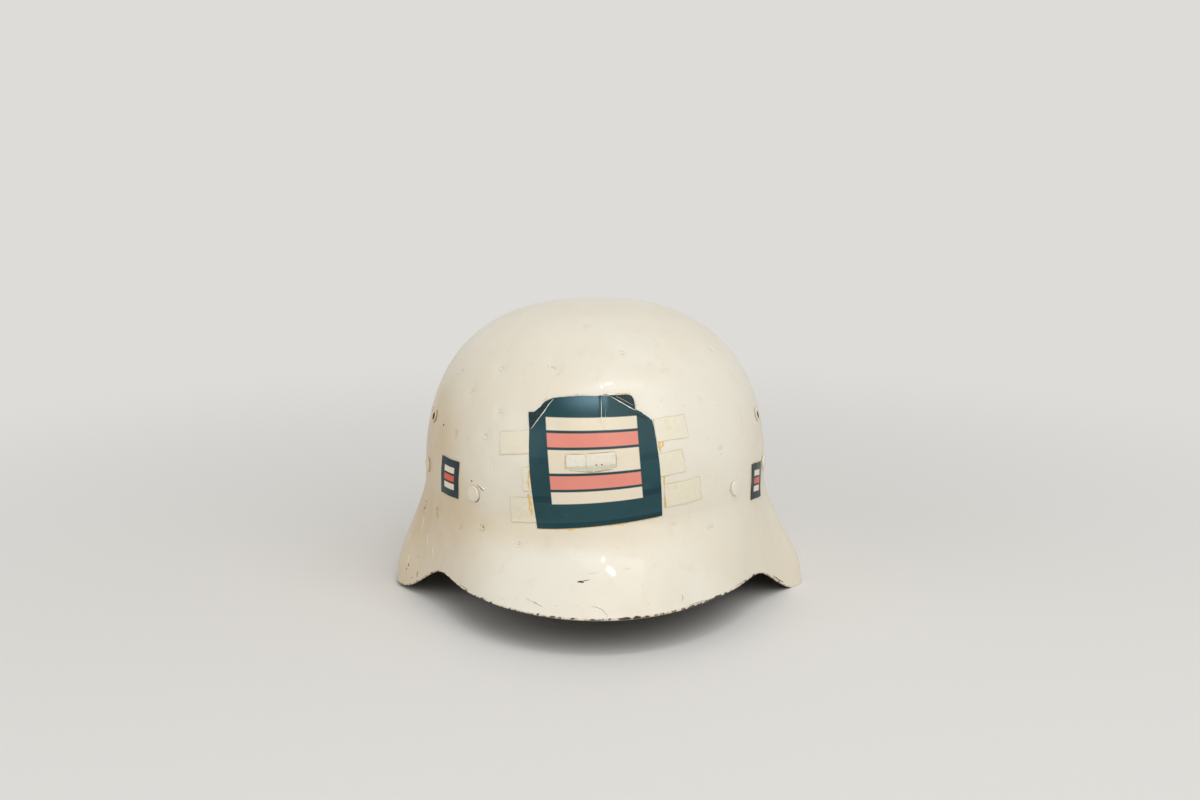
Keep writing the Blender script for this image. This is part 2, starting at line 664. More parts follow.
# %% Round the edge, add the inner face and close both poles
EDGE_OUT, EDGE_ANGLES = 0.35, np.radians((40, 90, 140))
downward = unit(outer[-1] - outer[-2])
edge_rows = [outer[-1] - normals[-1] * WALL * (1 - math.cos(a)) / 2
             + downward * EDGE_OUT * math.sin(a) for a in EDGE_ANGLES]
inner_rows = [outer[i] - WALL * normals[i] for i in range(len(outer) - 1, -1, -4)]
grid = np.stack([*outer, *edge_rows, *inner_rows])
grid[..., 2] = np.maximum(grid[..., 2], 0)
rows = len(grid)
index = np.arange(rows * COLUMNS).reshape(rows, COLUMNS)
right = np.roll(index, -1, axis=1)
faces = np.stack([index[:-1], index[1:], right[1:], right[:-1]], -1).reshape(-1, 4).tolist()
crown_out, crown_in = rows * COLUMNS, rows * COLUMNS + 1
faces += [[crown_out, index[0, k], right[0, k]] for k in range(COLUMNS)]
faces += [[crown_in, right[-1, k], index[-1, k]] for k in range(COLUMNS)]
pole = np.array([0, DOME_Y, SHELL_HEIGHT])
crown = pole - [0, 0, float(sunk(pole))]
points = np.concatenate([grid.reshape(-1, 3), [crown, crown - [0, 0, WALL]]])
shell = piece_from("steel_shell", points, faces, [worn_enamel, primer], sharp=60)
in_shade = np.zeros(len(shell.data.polygons), np.int32)
in_shade[(len(outer) + 1) * COLUMNS:(rows - 1) * COLUMNS] = 1
in_shade[-COLUMNS:] = 1
shell.data.polygons.foreach_set("material_index", in_shade)
print("shell before its holes:", len(faces), "faces")

# %% [markdown]
# ## Vent holes
# Each side has one small vent, lined by a rolled ring. The ring is a solid of the frame and stays, so
# only the hole behind it has to be punched. A Boolean with two round bars does it, because the bars
# cross the sheet squarely and both shapes are closed.

# %% Punch the two vents
VENTS = [(74.5, 104.0), (-74.5, 104.0)]
VENT_RADIUS, BAR_LENGTH = 2.5 * MM, 12 * MM
bars = bmesh.new()
for u, z in VENTS:
    turn = Vector(square_off(u, z)).to_track_quat("Z", "Y").to_matrix().to_4x4()
    stand = Matrix.Translation(Vector(on_shell(u, z) * MM)) @ turn
    bmesh.ops.create_cone(bars, cap_ends=True, segments=32, radius1=VENT_RADIUS,
                          radius2=VENT_RADIUS, depth=BAR_LENGTH, matrix=stand)
bars_mesh = bpy.data.meshes.new("vent bars")
bars.to_mesh(bars_mesh)
bars.free()
cut_by(shell, placed("vent bars", bars_mesh))
print("vents punched, shell has", len(shell.data.vertices), "points")

# %% [markdown]
# Now the two numbers that the chips need are written onto the finished mesh. The distance to the edge
# is measured with a search tree of points along the rim. The battering is the highest of many bumps:
# the chips seen in the photograph, and a seeded scatter round the rest.

# %% Distance to the edge, and how battered it is
SEEN_CHIPS = [  # u, half width in degrees, reach in mm
    (8.2, 1.3, 0.6), (11.6, 0.9, 0.5), (14.5, 0.8, 0.3), (3.0, 0.8, 0.2), (-3.0, 1.2, 0.2),
    (-8.0, 0.6, 0.2), (-15.0, 0.5, 0.3), (-19.8, 0.5, 0.35), (-22.0, 0.5, 0.2), (-27.0, 0.5, 0.3),
    (20.0, 0.6, 0.2), (24.0, 0.4, 0.3), (27.5, 0.7, 0.3), (31.0, 0.7, 0.4), (34.0, 0.8, 0.3),
    (37.0, 0.7, 0.4), (40.0, 1.0, 0.6), (42.0, 1.1, 0.4), (44.5, 0.6, 0.4), (-40.3, 0.9, 0.5),
    (-36.8, 0.5, 0.35), (-32.0, 0.4, 0.2), (-44.0, 0.4, 0.2), (-48.8, 0.5, 0.5), (56.0, 1.0, 0.4),
    (61.0, 1.0, 0.3)]
WHOLE, SPARED = -0.02, 0.25  # battering where the edge is whole, and less of it at the corners
EDGE_ZONE, FAR_AWAY = 45, 40.0
rng = np.random.default_rng(7)
FAR_CHIPS = list(zip(rng.uniform(98, 262, 60), rng.uniform(0.3, 1.5, 60), rng.uniform(0.1, 1.0, 60)))
rim_u = np.linspace(-180, 180, 1440, endpoint=False)
rim_points = on_shell(rim_u, rim_height(rim_u))
rim_points = rim_points - 0.5 * WALL * square_off(rim_u, rim_height(rim_u) + 0.5)
rim_tree = KDTree(len(rim_points))
for i, point in enumerate(rim_points):
    rim_tree.insert(point, i)
rim_tree.balance()
rim_a = np.abs(wrapped(rim_u))
battered = WHOLE - SPARED * smooth(61, 65, rim_a) * smooth(100, 96, rim_a)
for u, half, reach in SEEN_CHIPS + FAR_CHIPS:
    battered = np.maximum(battered, WHOLE + reach * bell(wrapped(rim_u - u), 0, half))
co = np.empty(len(shell.data.vertices) * 3)
shell.data.vertices.foreach_get("co", co)
co = co.reshape(-1, 3) / MM
edge_value, battered_value = np.full(len(co), FAR_AWAY), np.zeros(len(co))
for i in np.nonzero(co[:, 2] < EDGE_ZONE)[0]:
    _, nearest, distance = rim_tree.find(co[i])
    edge_value[i] = max(0.0, distance - 0.5 * WALL)
    battered_value[i] = battered[nearest]
numbers_on(shell, "edge", edge_value)
numbers_on(shell, "battered", battered_value)
mounted(shell, "helmet", "cream_paint", "shell")
print("edge distances up to", round(float(edge_value.max())), "mm on", len(co), "points")

# %% [markdown]
# ## Rivets, set by a node tree
# Seven rivets hold the springs of the liner. One pattern is turned on a lathe, head outside, shank
# through the sheet and tail spread over a washer inside, and a small Geometry Nodes tree stands a
# copy of it on every point that it is given, facing the way that the point's own attribute says. The
# same tree later sets holes in leather, so its pattern and its finish are inputs.

# %% A tree that stands copies on points
def tree_named(name, **inputs):
    """A Geometry Nodes tree with inputs, each a kind and perhaps a value, and one output."""
    tree = bpy.data.node_groups.new(name, "GeometryNodeTree")
    for label, (kind, *values) in inputs.items():
        item = tree.interface.new_socket(label, in_out="INPUT", socket_type="NodeSocket" + kind)
        for value in values:
            item.default_value = value
    tree.interface.new_socket("Result", in_out="OUTPUT", socket_type="NodeSocketGeometry")
    mix = Recipe(tree)
    return mix, {out.name: Value(mix, out) for out in mix.add("NodeGroupInput").outputs if out.name}


def made_real(mix, copies, finish):
    """Ends a tree: its copies become real faces with a finish."""
    real = mix.get("GeometryNodeRealizeInstances", {0: copies})
    dressed = mix.get("GeometryNodeSetMaterial", {"Geometry": real, "Material": finish})
    mix.add("NodeGroupOutput", {0: dressed})


def grown(holder, mix, **values):
    """Runs a tree on a piece, its inputs set by their identifiers, and removes the pattern."""
    modifier = holder.modifiers.new("copies", "NODES")
    modifier.node_group = mix.tree
    for item in mix.tree.interface.items_tree:
        if item.item_type == "SOCKET" and item.in_out == "INPUT" and item.name in values:
            modifier[item.identifier] = values[item.name]
    settled(holder)
    bpy.data.objects.remove(values["Pattern"])
    return holder


copies, given = tree_named("copies square to a surface", Points=("Geometry",), Pattern=("Object",),
                           Spin=("Float", 0.0), Seed=("Int", 3), Finish=("Material",))
facing = copies.get("GeometryNodeInputNamedAttribute", {"Name": "facing"}, data_type="FLOAT_VECTOR")
aligned = copies.get("FunctionNodeAlignRotationToVector", {"Vector": facing}, axis="Z")
pattern = copies.get("GeometryNodeObjectInfo", {"Object": given["Pattern"]}, "Geometry")
stood = copies.get("GeometryNodeInstanceOnPoints", {"Points": given["Points"], "Instance": pattern,
                                                    "Rotation": aligned})
spin = copies.get("FunctionNodeRandomValue", {3: given["Spin"], "Seed": given["Seed"]}, 1,
                  data_type="FLOAT")
around_z = copies.get("ShaderNodeCombineXYZ", {"Z": spin})
spun = copies.get("GeometryNodeRotateInstances", {"Instances": stood, "Rotation": around_z})
made_real(copies, spun, given["Finish"])


def copies_on(name, spots, facings, pattern_parts, finish, spin=0.0, seed=3):
    """A mesh of copies of a pattern, one on each spot (mm), facing the given ways."""
    holder = piece_from(name, spots, [], [])
    numbers_on(holder, "facing", facings)
    model = piece_from(name + " pattern", *pattern_parts, [finish])
    return grown(holder, copies, Pattern=model, Spin=spin, Seed=seed, Finish=finish)


print("copy tree has", len(copies.tree.nodes), "nodes")

# %% Turn the rivet and set seven
RIVETS = [(50.0, 71.5), (-43.0, 71.5), (75.5, 75.0), (-75.5, 75.0), (130.0, 75.0), (-130.0, 75.0),
          (180.0, 75.0)]
FOOT_ROOM, SPRING_THICK, WASHER_THICK = 0.7, 0.8, 0.8
TAIL_DEPTH = WALL + FOOT_ROOM + SPRING_THICK + WASHER_THICK
HEAD = [(0, 1.36), (1.6, 1.34), (2.8, 1.28), (3.4, 1.24), (3.7, 1.34), (3.95, 1.34), (4.2, 1.16),
        (4.36, 0.82), (4.4, 0.5), (4.34, 0.26), (4.2, 0.1), (2.0, 0.1)]
TAIL = [(2.0, 0), (3.25, 0), (3.4, 0.3), (3.1, 0.85), (1.9, 1.1), (0.7, 0.8), (0, 0.7)]
mix, tone, rough, normal = enamelled("enamel on the rivets")
rivet_paint = mix.finish(mix.blend(0.35, tone, (242, 236, 220)), rough, normal, **COAT)
spots, outward = (np.array([place(u, z) for u, z in RIVETS]) for place in (on_shell, square_off))
turned = lathe_parts(HEAD + [(radius, -TAIL_DEPTH - below) for radius, below in TAIL], 40)
rivets = copies_on("shell_rivets", spots, unit(outward * [1, 1, 0]), turned, rivet_paint,
                   spin=6.2, seed=5)
mounted(rivets, "helmet", "cream_paint", "rivet_front_left", "rivet_front_right", "rivet_side_left",
        "rivet_side_right", "rivet_rear_left", "rivet_rear_right", "rivet_rear")

# %% [markdown]
# ## The badge bracket
# A short strip across the brow once held a badge. It is welded at both ends, stands a little off the
# steel in the middle, and has been painted over so often that its edges are soft. Its outline is
# swept along a line that follows the brow: a flat face, a step left of the middle where the strip has
# been bent, and a lower edge that slopes back and bulges down where the paint has run.

# %% Sweep the strip over the brow
BRACKET, BRACKET_TURN = (-2.5, 96.0), 2.65
BRACKET_HALF, STEP_AT = 13.5, -2.75
TOP_EDGE = [(-13.5, 4.1), (-2.7, 3.85), (-2.2, 4.1), (13.5, 4.3)]  # mm across and up
FOLD = [(-13.5, -2.4), (-3.4, -2.2), (-2.2, -2.0), (1.5, -1.6), (8, -1.8), (13.5, -2.0)]
LOW_EDGE = [(-13.5, -3.9), (-9, -4.4), (-2.7, -5.0), (1.3, -5.5), (4.5, -5.2), (7.5, -4.7),
            (13.5, -4.3)]
rings = []
for p in np.concatenate([[-BRACKET_HALF, -13.35, -13.0], np.linspace(-12.5, 12.5, 75),
                         [13.0, 13.35, BRACKET_HALF]]):
    top, fold, low = (float(np.interp(p, *zip(*edge))) for edge in (TOP_EDGE, FOLD, LOW_EDGE))
    low += 0.14 * math.sin(p * 3.1 + 1) + 0.1 * math.sin(p * 7.3)
    high = 1.35 + 0.75 * float(smooth(-3.0, -2.3, p)) * (1 - 0.6 * float(smooth(8.8, 10.2, p)))
    high += 0.04 * math.sin(p * 1.7) - 0.45 * float(bell(p, STEP_AT, 0.35))
    high -= 1.1 * max(0.0, abs(p) - 12.9)
    foot = max(0.12, high - 1.5)
    section = np.array([
        (low + 0.15, foot), (top - 0.1, foot), (top, foot + 0.12), (top, high - 0.35),
        (top - 0.12, high - 0.1), (top - 0.4, high), (top - 1.5, high - 0.02),
        (fold + 1.2, high - 0.02), (fold + 0.25, high - 0.04), (fold - 0.2, high - 0.16),
        (0.5 * (fold + low), 0.5 * (high + foot) + 0.12), (low, foot + 0.14)])
    u, z = beside(BRACKET, np.full(len(section), p), section[:, 0], turn=BRACKET_TURN)
    rings.append(laid(u, z, section[:, 1]))
mix, tone, rough, normal = enamelled("bracket enamel")
x, _, z = mix.split(mix.place)
slope = mix.noise(500, 3) * 0.0012 + (x * -0.0645 + z)
tone = mix.blend(slope.span(0.0952, 0.0948), tone, (224, 220, 198))
tone = mix.blend(mix.noise(620, 4, 0.6).span(0.6, 0.72, 0.0, 0.5), tone, (180, 160, 118))
strip_finish = mix.finish(tone, rough, normal, Coat_Weight=0.2)
bracket = turned_right(piece_from("badge_strip", *swept_parts(rings), [strip_finish], sharp=50))
print("bracket is", round(float(np.ptp(np.array(rings)[..., 0])), 1), "mm across the brow")

# %% [markdown]
# ## The front sticker's film
# Vinyl film with a plain striped print is stuck over the brow and the foot of the dome. It is dark
# green-blue, and its gloss has gone soft. Strips of clear tape once ran across it and left faint
# darker bands. The print reads the film's own UV map, so that the stripes follow the film however it
# wrinkles, and the scuffs read Object coordinates, because they came from outside.

# %% Printed film, with a choice of stripes
def film_finish(name, stripes, sides, bands=(), field=(36, 75, 82), sheen=False):
    """Stripes, and darker bands where tape was, between borders, on the film's own UV map."""
    mix = finish_named(name)
    across, up, _ = mix.uv()
    wobble = mix.noise(40, 3)
    tone = mix.blend(wobble.span(0.35, 0.65), field, tuple(c - 9 for c in field))
    for low, high, soft, share, shade in bands:
        tone = mix.blend(up.between(low, high, soft) * share, tone, shade)
    if sheen:
        left = across.span(0.18, 0.56) * across.span(0.58, 0.566)
        right = across.between(0.59, 0.635, 0.02) * 0.7
        tone = mix.blend((left + right) * up.span(0.86, 0.98, 0.0, 0.8), tone, (104, 143, 160))
    inside = across.between(*sides)
    for low, high, paint in stripes:
        ink = mix.blend(wobble.span(0.3, 0.7), paint, tuple(0.94 * c for c in paint[:3]) + (1,))
        tone = mix.blend(up.between(low, high) * inside, tone, ink)
    tone = mix.blend(mix.noise(170, 5, 0.65).span(0.6, 0.82, 0.0, 0.22), tone, (120, 122, 104))
    return mix.finish(tone, mix.noise(75, 4).span(0.35, 0.7, 0.3, 0.46),
                      mix.bump(mix.noise(230, 3), 0.00012, 0.6), Coat_Weight=0.08,
                      Coat_Roughness=0.2, Specular_IOR_Level=0.22)


CREAM_INK, CORAL_INK, RED_INK = colour(242, 230, 207), colour(238, 150, 134), colour(226, 98, 72)
front_film = film_finish("striped film", [
    (0.755, 0.845, CREAM_INK), (0.635, 0.735, CORAL_INK), (0.445, 0.615, CREAM_INK),
    (0.325, 0.425, CORAL_INK), (0.215, 0.305, CREAM_INK)], (0.14, 0.86), [
    (0.505, 0.555, 0.008, 0.6, (18, 58, 70)), (0.225, 0.275, 0.006, 0.75, (12, 52, 62)),
    (-0.1, 0.07, 0.004, 0.85, (6, 54, 60))], sheen=True)
side_film = film_finish("small striped film", [
    (0.64, 0.8, CREAM_INK), (0.42, 0.58, RED_INK), (0.2, 0.36, CREAM_INK)], (0.22, 0.78),
    field=(10, 48, 55))
print("two films printed")

# %% [markdown]
# ## The front sticker's sheet
# The outline is cut by hand and torn: a bite at the top left corner, a folded corner at the top
# right, and a slope along the bottom. Each row of the sheet runs from a left border to a right
# border, both given as a few angles and heights measured off the photograph, so the outline is
# exact without a trim. One upright wrinkle runs down from the top edge, and the film stands off the
# steel along it.

# %% Lay the front sticker
FILM_LOW, FILM_TOP, FILM_OFF, FILM_THICK = 58.6, 128.6, 0.42, 0.2
LEFT_BORDER = [  # height and angle
    (58.6, -19.3), (88, -22.0), (111.2, -23.6), (119.5, -24.9), (119.8, -22.6), (120.2, -21.8),
    (122.0, -21.0), (123.5, -20.5), (125.2, -19.5), (126.2, -18.2), (127.2, -16.7), (127.7, -14.2),
    (128.1, -11.2), (128.6, -7.5)]
RIGHT_BORDER = [(58.6, 20.0), (90, 19.6), (111.5, 18.9), (115.0, 18.6), (117.4, 16.9), (120.0, 14.6),
                (120.6, 13.1), (123.0, 13.2), (126.0, 13.0), (128.0, 12.4), (128.6, 10.8)]
side_z = np.concatenate([np.linspace(FILM_LOW, 116, 58), np.linspace(116.4, FILM_TOP, 52)])
left_u = np.interp(side_z, *zip(*LEFT_BORDER))
right_u = np.interp(side_z, *zip(*RIGHT_BORDER))
across = np.linspace(0, 1, 76)
sheet_u = left_u[:, None] + (right_u - left_u)[:, None] * across
slope = 5.8 * (1 - (side_z - FILM_LOW) / 70.0) ** 1.2 + 0.5
sheet_z = side_z[:, None] + slope[:, None] * across ** 1.25
ragged = 0.12 * np.sin(sheet_u * 5.1) + 0.08 * np.sin(sheet_u * 13.0)
sheet_z = sheet_z + ragged * smooth(126, FILM_TOP, side_z)[:, None]


def film_stand(u, z):
    """How far the film's face stands off the steel, in mm."""
    ridge = bell(u, 0.95, 0.42) * smooth(112, 121, z)
    pull = bell(u, 2.3, 0.8) * smooth(104, 124, z)
    valley = bell(u, 0.2, 2.2) * bell(z, 109, 4.0)
    puff = bell(u, -8, 7.0) * smooth(120, 130, z)
    corner = smooth(-17.5, -23.5, u - (z - 123) * 0.55) * smooth(111, 119, z)
    flap = smooth(3.0, 13.0, u + (z - 129) * 0.8) * smooth(117, 126, z)
    bumps = 0.03 * np.sin(u * 1.9) * np.sin(z * 0.6)
    return (FILM_OFF + 0.8 * ridge + 0.55 * pull + 0.3 * corner + 0.45 * flap + 0.5 * puff
            + 0.35 * valley + bumps)


film_lift = film_stand(sheet_u, sheet_z)
top, under = laid(sheet_u, sheet_z, film_lift), laid(sheet_u, sheet_z, film_lift - FILM_THICK)
middle_u = 0.35 - 2.7 * (sheet_z - FILM_LOW) / 55
squeezed = (1 - np.clip((sheet_z - WAIST) / RISE, 0, 1) ** FRONT_POWER) ** (1 / FRONT_POWER)
row_up = (side_z + 0.42 * slope - 59) / 70
film_uv = np.stack([0.5 + (sheet_u - middle_u) * squeezed / 39.3,
                    np.broadcast_to(row_up[:, None], sheet_u.shape)], -1)
film_uv = np.concatenate([film_uv.reshape(-1, 2)] * 2)
sticker = turned_right(piece_from("front_film", *slab_parts(top, under), [front_film], uv=film_uv))
print("sticker is", round(float(right_u[0] - left_u[0])), "degrees wide at the bottom")

# %% [markdown]
# The film was cut away round the bracket. A rounded box a little smaller than the bracket's foot is
# taken out of it with a Boolean.

# %% Cut the slot for the bracket and finish both
outline = rounded_outline(25.6, 6.4, 0.8)
u, z = beside(BRACKET, outline[:, 0], outline[:, 1] + 0.2, turn=2.4)
window = [laid(u, z, np.full(len(outline), depth)) for depth in (-4.0, 5.0)]
cut_by(sticker, turned_right(piece_from("window blade", *swept_parts(window), [])))
mounted(sticker, "helmet", "sticker_film", "front_sticker")
mounted(bracket, "helmet", "cream_paint", "badge_bracket")

# %% [markdown]
# ## Side stickers and old tape
# Two small stickers of the same film sit in front of the ears, and six pieces of brittle tape hold
# the edges of the big one. Both are plain patches with slightly uneven corners. The tape is nearly
# the enamel's own colour, yellowed, with a brown line of dirt along its edge, so its finish is the
# enamel recipe under a tint that grows towards the border of its UV map.

# %% Patches on the shell
RIPPLE, PATCH_STEPS = 0.03, 13


def patch_parts(spot, width, height, turn, lift, thickness, seed):
    """A closed patch with uneven corners, and its UVs."""
    rng = np.random.default_rng(seed)
    j, i = np.meshgrid(np.linspace(-0.5, 0.5, PATCH_STEPS), np.linspace(0.5, -0.5, PATCH_STEPS))
    skew = rng.uniform(-0.35, 0.35, 6)
    p = j * (width + skew[0] + skew[1] * i) + 0.12 * np.sin(i * 9 + skew[2] * 9)
    q = i * (height + skew[3] + skew[4] * j) + 0.12 * np.sin(j * 8 + skew[5] * 9)
    u, z = beside(spot, p, q, turn, upright=True)
    waves = np.sin(p * 0.9 + seed) * np.sin(q * 1.1 + seed * 2)
    bubble = RIPPLE * (waves + 0.5 * np.sin(p * 2.3 + q * 1.7))
    parts = slab_parts(laid(u, z, lift + bubble), laid(u, z, lift - thickness + bubble))
    return parts, np.concatenate([np.stack([j + 0.5, i + 0.5], -1).reshape(-1, 2)] * 2)


SIDE_STICKERS = {  # angle, height, width, height of the film, turn and seed
    "left": (66.1, 69.0, 19.2, 20.8, -7, 11), "right": (-56.1, 76.0, 20.6, 21.4, 0, 12)}
for side, (u, z, wide, high, turn, seed) in SIDE_STICKERS.items():
    parts, uv = patch_parts((u, z), wide, high, turn, FILM_OFF, FILM_THICK, seed)
    made = turned_right(piece_from("side_film_" + side, *parts, [side_film], uv=uv))
    mounted(made, "helmet", "sticker_film", "side_sticker_" + side)

# %% Old tape
mix, tone, *_ = enamelled("old clear tape")
across, up, _ = mix.uv()
mottle = mix.noise(150, 4, 0.6)
tone = mix.blend(mottle.span(0.3, 0.75, 0.25, 0.55), tone, (238, 228, 194))
tone = mix.blend(mottle.span(0.62, 0.74, 0.0, 0.35), tone, (222, 200, 148))
border = abs(across - 0.5).most(abs(up - 0.5)).span(0.47, 0.494)
line = border * mottle.span(0.36, 0.56, 0.25, 1.0) * 0.6
crinkle = mix.bump(mix.noise(420, 3, 0.6, stretch=(1, 1, 2.2)), 0.0001, 0.8)
tape_finish = mix.finish(mix.blend(line, tone, (176, 150, 104)),
                         mottle.span(0.3, 0.7, 0.2, 0.38), crinkle)
STICKER_MIDDLE, STICKER_WIDE, STICKER_HIGH, TAPE_OFF, TAPE_THICK = 94, 67, 68, 0.29, 0.16
TAPES = [  # angle, then rise, width and height as shares of the big sticker, turn
    (-28.0, 0.14, 0.31, 0.18, 9), (-22.6, -0.134, 0.1, 0.197, 7), (-24.0, -0.386, 0.24, 0.203, 5),
    (25.2, 0.25, 0.3, 0.18, 2), (23.5, -0.015, 0.26, 0.18, 4), (27.5, -0.26, 0.36, 0.19, 4)]
taped = [patch_parts((u, STICKER_MIDDLE + rise * STICKER_HIGH), width * STICKER_WIDE,
                     height * STICKER_HIGH, turn, TAPE_OFF, TAPE_THICK, 20 + k)
         for k, (u, rise, width, height, turn) in enumerate(TAPES)]
tapes = piece_from("tape_pieces", *joined(parts for parts, _ in taped), [tape_finish],
                   uv=np.concatenate([uv for _, uv in taped]))
mounted(turned_right(tapes), "helmet", "old_tape", "tape_strips")

# %% [markdown]
# ## Cracks, chips and scratches
# The photograph shows perhaps thirty small marks: dark chips on the visor, hair-thin scratches, a
# crack round a rivet, dashes along the rim, an outline where an older sticker sat. Painted into the
# shader they would need a mask each, so they are made as flakes instead, a few tenths of a millimetre
# thick, laid on the steel along short paths. The same path makes a dark line, a raised ridge of
# enamel or a smear of old glue, depending on its finish.

# %% Flakes along a path, and round spots
SPOT_SIDES = 14


def streak_parts(us, zs, width, lift=0.1, thick=0.14, seed=0):
    """A thin tapering flake along angles and heights on the steel."""
    rng = np.random.default_rng(seed)
    count = max(5, 3 * len(us))
    at = np.linspace(0, len(us) - 1, count)
    u, z = (np.interp(at, range(len(us)), values) for values in (us, zs))
    line, square = on_shell(u, z), square_off(u, z)
    sideways = np.cross(square, unit(np.gradient(line, axis=0)))
    taper = np.sin(np.linspace(0.12, np.pi - 0.12, count)) ** 0.6 * rng.uniform(0.65, 1.2, count)
    drift = rng.normal(0, 0.12 * width, count)
    top, stand = [], lift(u, z) if callable(lift) else lift
    for side, rise in ((-0.5, -0.04), (0.0, 0.03), (0.5, -0.04)):
        spot = line + sideways * ((side * width * taper + drift)[:, None])
        top.append(spot + (stand + rise - sunk(spot))[:, None] * square)
    top = np.stack(top, 1)
    return slab_parts(top, top - thick * square[:, None, :])


def spot_parts(u, z, half_long, half_wide, lift=0.1, thick=0.14, seed=0):
    """A thin ragged round flake on the steel."""
    angle = np.linspace(0, 2 * math.pi, SPOT_SIDES, endpoint=False)
    ragged = np.random.default_rng(seed).uniform(0.72, 1.15, SPOT_SIDES)
    top, low = [], []
    for share, rise in ((1.0, -0.05), (0.55, 0.02)):
        pu, pz = beside((u, z), half_long * share * ragged * np.cos(angle),
                        half_wide * share * ragged * np.sin(angle))
        top.append(laid(pu, pz, np.full(SPOT_SIDES, lift + rise)))
        low.append(laid(pu, pz, np.full(SPOT_SIDES, lift + rise - thick)))
    middle_top, middle_low = (laid(np.array([u]), np.array([z]), [rise]) for rise in (lift, -0.05))
    n, base, faces = SPOT_SIDES, 2 * SPOT_SIDES + 1, []
    for k in range(n):
        m = (k + 1) % n
        faces += [[k, m, n + m, n + k], [n + k, n + m, 2 * n],
                  [base + m, base + k, base + n + k, base + n + m],
                  [base + n + m, base + n + k, base + 2 * n], [m, k, base + k, base + m]]
    return np.concatenate([*top, middle_top, *low, middle_low]), faces


def strokes_at(table, seed, **flake):
    """Flakes from rows of a spot, a path in mm beside it, and a width in mm."""
    return [streak_parts(*beside(spot, *np.array(path, float).T), width, seed=seed + k, **flake)
            for k, (spot, path, width) in enumerate(table)]


def lines_at(table, seed, **flake):
    """Flakes from rows of angles, heights and a width in mm."""
    return [streak_parts(us, zs, width, seed=seed + k, **flake)
            for k, (us, zs, width) in enumerate(table)]


def flakes_piece(name, parts, finish, slot="cream_paint", sharp=70):
    mounted(turned_right(piece_from(name, *joined(parts), [finish], sharp=sharp)), "helmet", slot)


print("flake helpers ready")

# %% The marks themselves
SPLIT = [(-1.6, 0.2), (0.1, -0.1), (1.6, 0.2)]
DARK_STROKES = [  # spot, path in mm, width in mm
    ((-5, 36.75), [(-3.4, -0.5), (-2.2, -0.3), (-0.8, 0.1)], 1.1),
    ((-5, 36.75), [(-0.9, 0.0), (1.4, 0.5), (3.4, 1.1)], 0.4),
    ((-20.25, 26), [(-4.5, 1.5), (-1.4, 0.5), (1.8, -0.7), (4.4, -1.8)], 0.28),
    ((0.25, 25), [(-5, 2.6), (-2.2, 2.2), (0.6, 0.6), (2.6, -2.0), (3.6, -4.2)], 0.2),
    ((26.75, 26), [(-0.4, 2.2), (0.5, 0.6), (-0.2, -1.6)], 0.22),
    ((-39.75, 55), [(-1.8, 0.3), (0, 0.7), (1.8, 0.0)], 0.4),
    (RIVETS[1], [(2.5, 5.5), (5.2, 4.1), (8.1, 2.6)], 0.5),
    ((-73.5, 12), [(0.2, 1.6), (-0.3, -1.8)], 0.7), ((-76.5, 49), [(0.3, 1.5), (-0.3, -1.5)], 0.6),
    ((12.5, 148.75), [(-0.7, -0.5), (0.4, -0.8)], 0.4)]
SOFT_STROKES = [
    ((-2.0, 40.0), [(-3, -0.4), (3, 0.5)], 0.16), ((8.5, 41.25), [(-2.5, 0.2), (2.5, 0.6)], 0.16),
    ((-26, 50), [(-2.2, 0.5), (0.4, -0.1), (2.0, 0.3)], 0.35),
    ((-65, 52), [(1.4, 1.9), (-0.6, 0.2), (1.3, -2.4)], 0.5), ((-51, 51), SPLIT, 0.4),
    ((-19.5, 142), [(-1.9, 1.8), (0.2, -0.2), (1.9, -1.4)], 0.4),
    ((-55.5, 101), [(-0.9, -1.6), (0.2, 0), (-0.5, 1.8)], 0.4),
    ((-40.5, 104.5), [(-2.0, 0.9), (0.4, 0.2), (2.1, 0.8)], 0.4),
    ((-53.5, 125), [(-1.0, 1.8), (0.6, 0.2), (-0.4, -1.6)], 0.4),
    ((-43.75, 139), [(-1.6, 0.9), (0.6, 0.8), (1.2, -1.0)], 0.3), ((-36.5, 117.5), SPLIT, 0.3),
    ((44.25, 95), [(-1.5, 0.2), (1.4, 0.5)], 0.25),
    ((24, 60), [(-1.6, 0.3), (0.3, -0.3), (1.7, 0.3)], 0.3), ((38.25, 54), SPLIT, 0.25),
    ((-47, 92), [(-0.6, 1.6), (0.2, 0.1), (-0.4, -1.4)], 0.25), ((-69, 60), SPLIT, 0.3)]
PALE_STROKES = [
    ((-76.5, 42.5), [(-0.3, 1.5), (0.6, -2.5), (2.4, -7.0)], 0.7),
    ((-78.2, 18), [(0.2, 2.6), (0.3, -2.4)], 0.9), ((-82, 26.5), [(-0.4, 4.0), (0.3, -4.0)], 0.6),
    ((-70.8, 33), [(-0.4, 4.0), (0.6, -2.4)], 0.7), ((-67.4, 29), [(-0.6, 3.0), (0.6, -2.0)], 0.5),
    ((-20.6, 60), [(0.5, -1.0), (-0.2, 6.5)], 0.3)]
RIM_DASHES = [  # first and last angle, height over the rim, width
    (50.0, 56.0, 0.9, 0.22), (69.9, 73.8, 1.3, 0.7), (29.0, 35.0, 1.0, 0.22),
    (-52.0, -47.5, 1.1, 0.25)]
STRIP_EDGES = [  # mm across and up the bracket, width
    ([-13.2, -9, -3], [4.25, 4.15, 4.1], 0.5), ([-2, 2, 8, 13.2], [4.45, 4.4, 4.55, 4.7], 0.3),
    ([-13.9, -13.8], [4.0, -3.8], 0.3), ([13.9, 13.8], [4.2, -4.0], 0.25),
    ([-12, -6, 0, 4, 8, 12], [-4.4, -5.1, -5.7, -5.6, -5.1, -4.8], 0.4)]
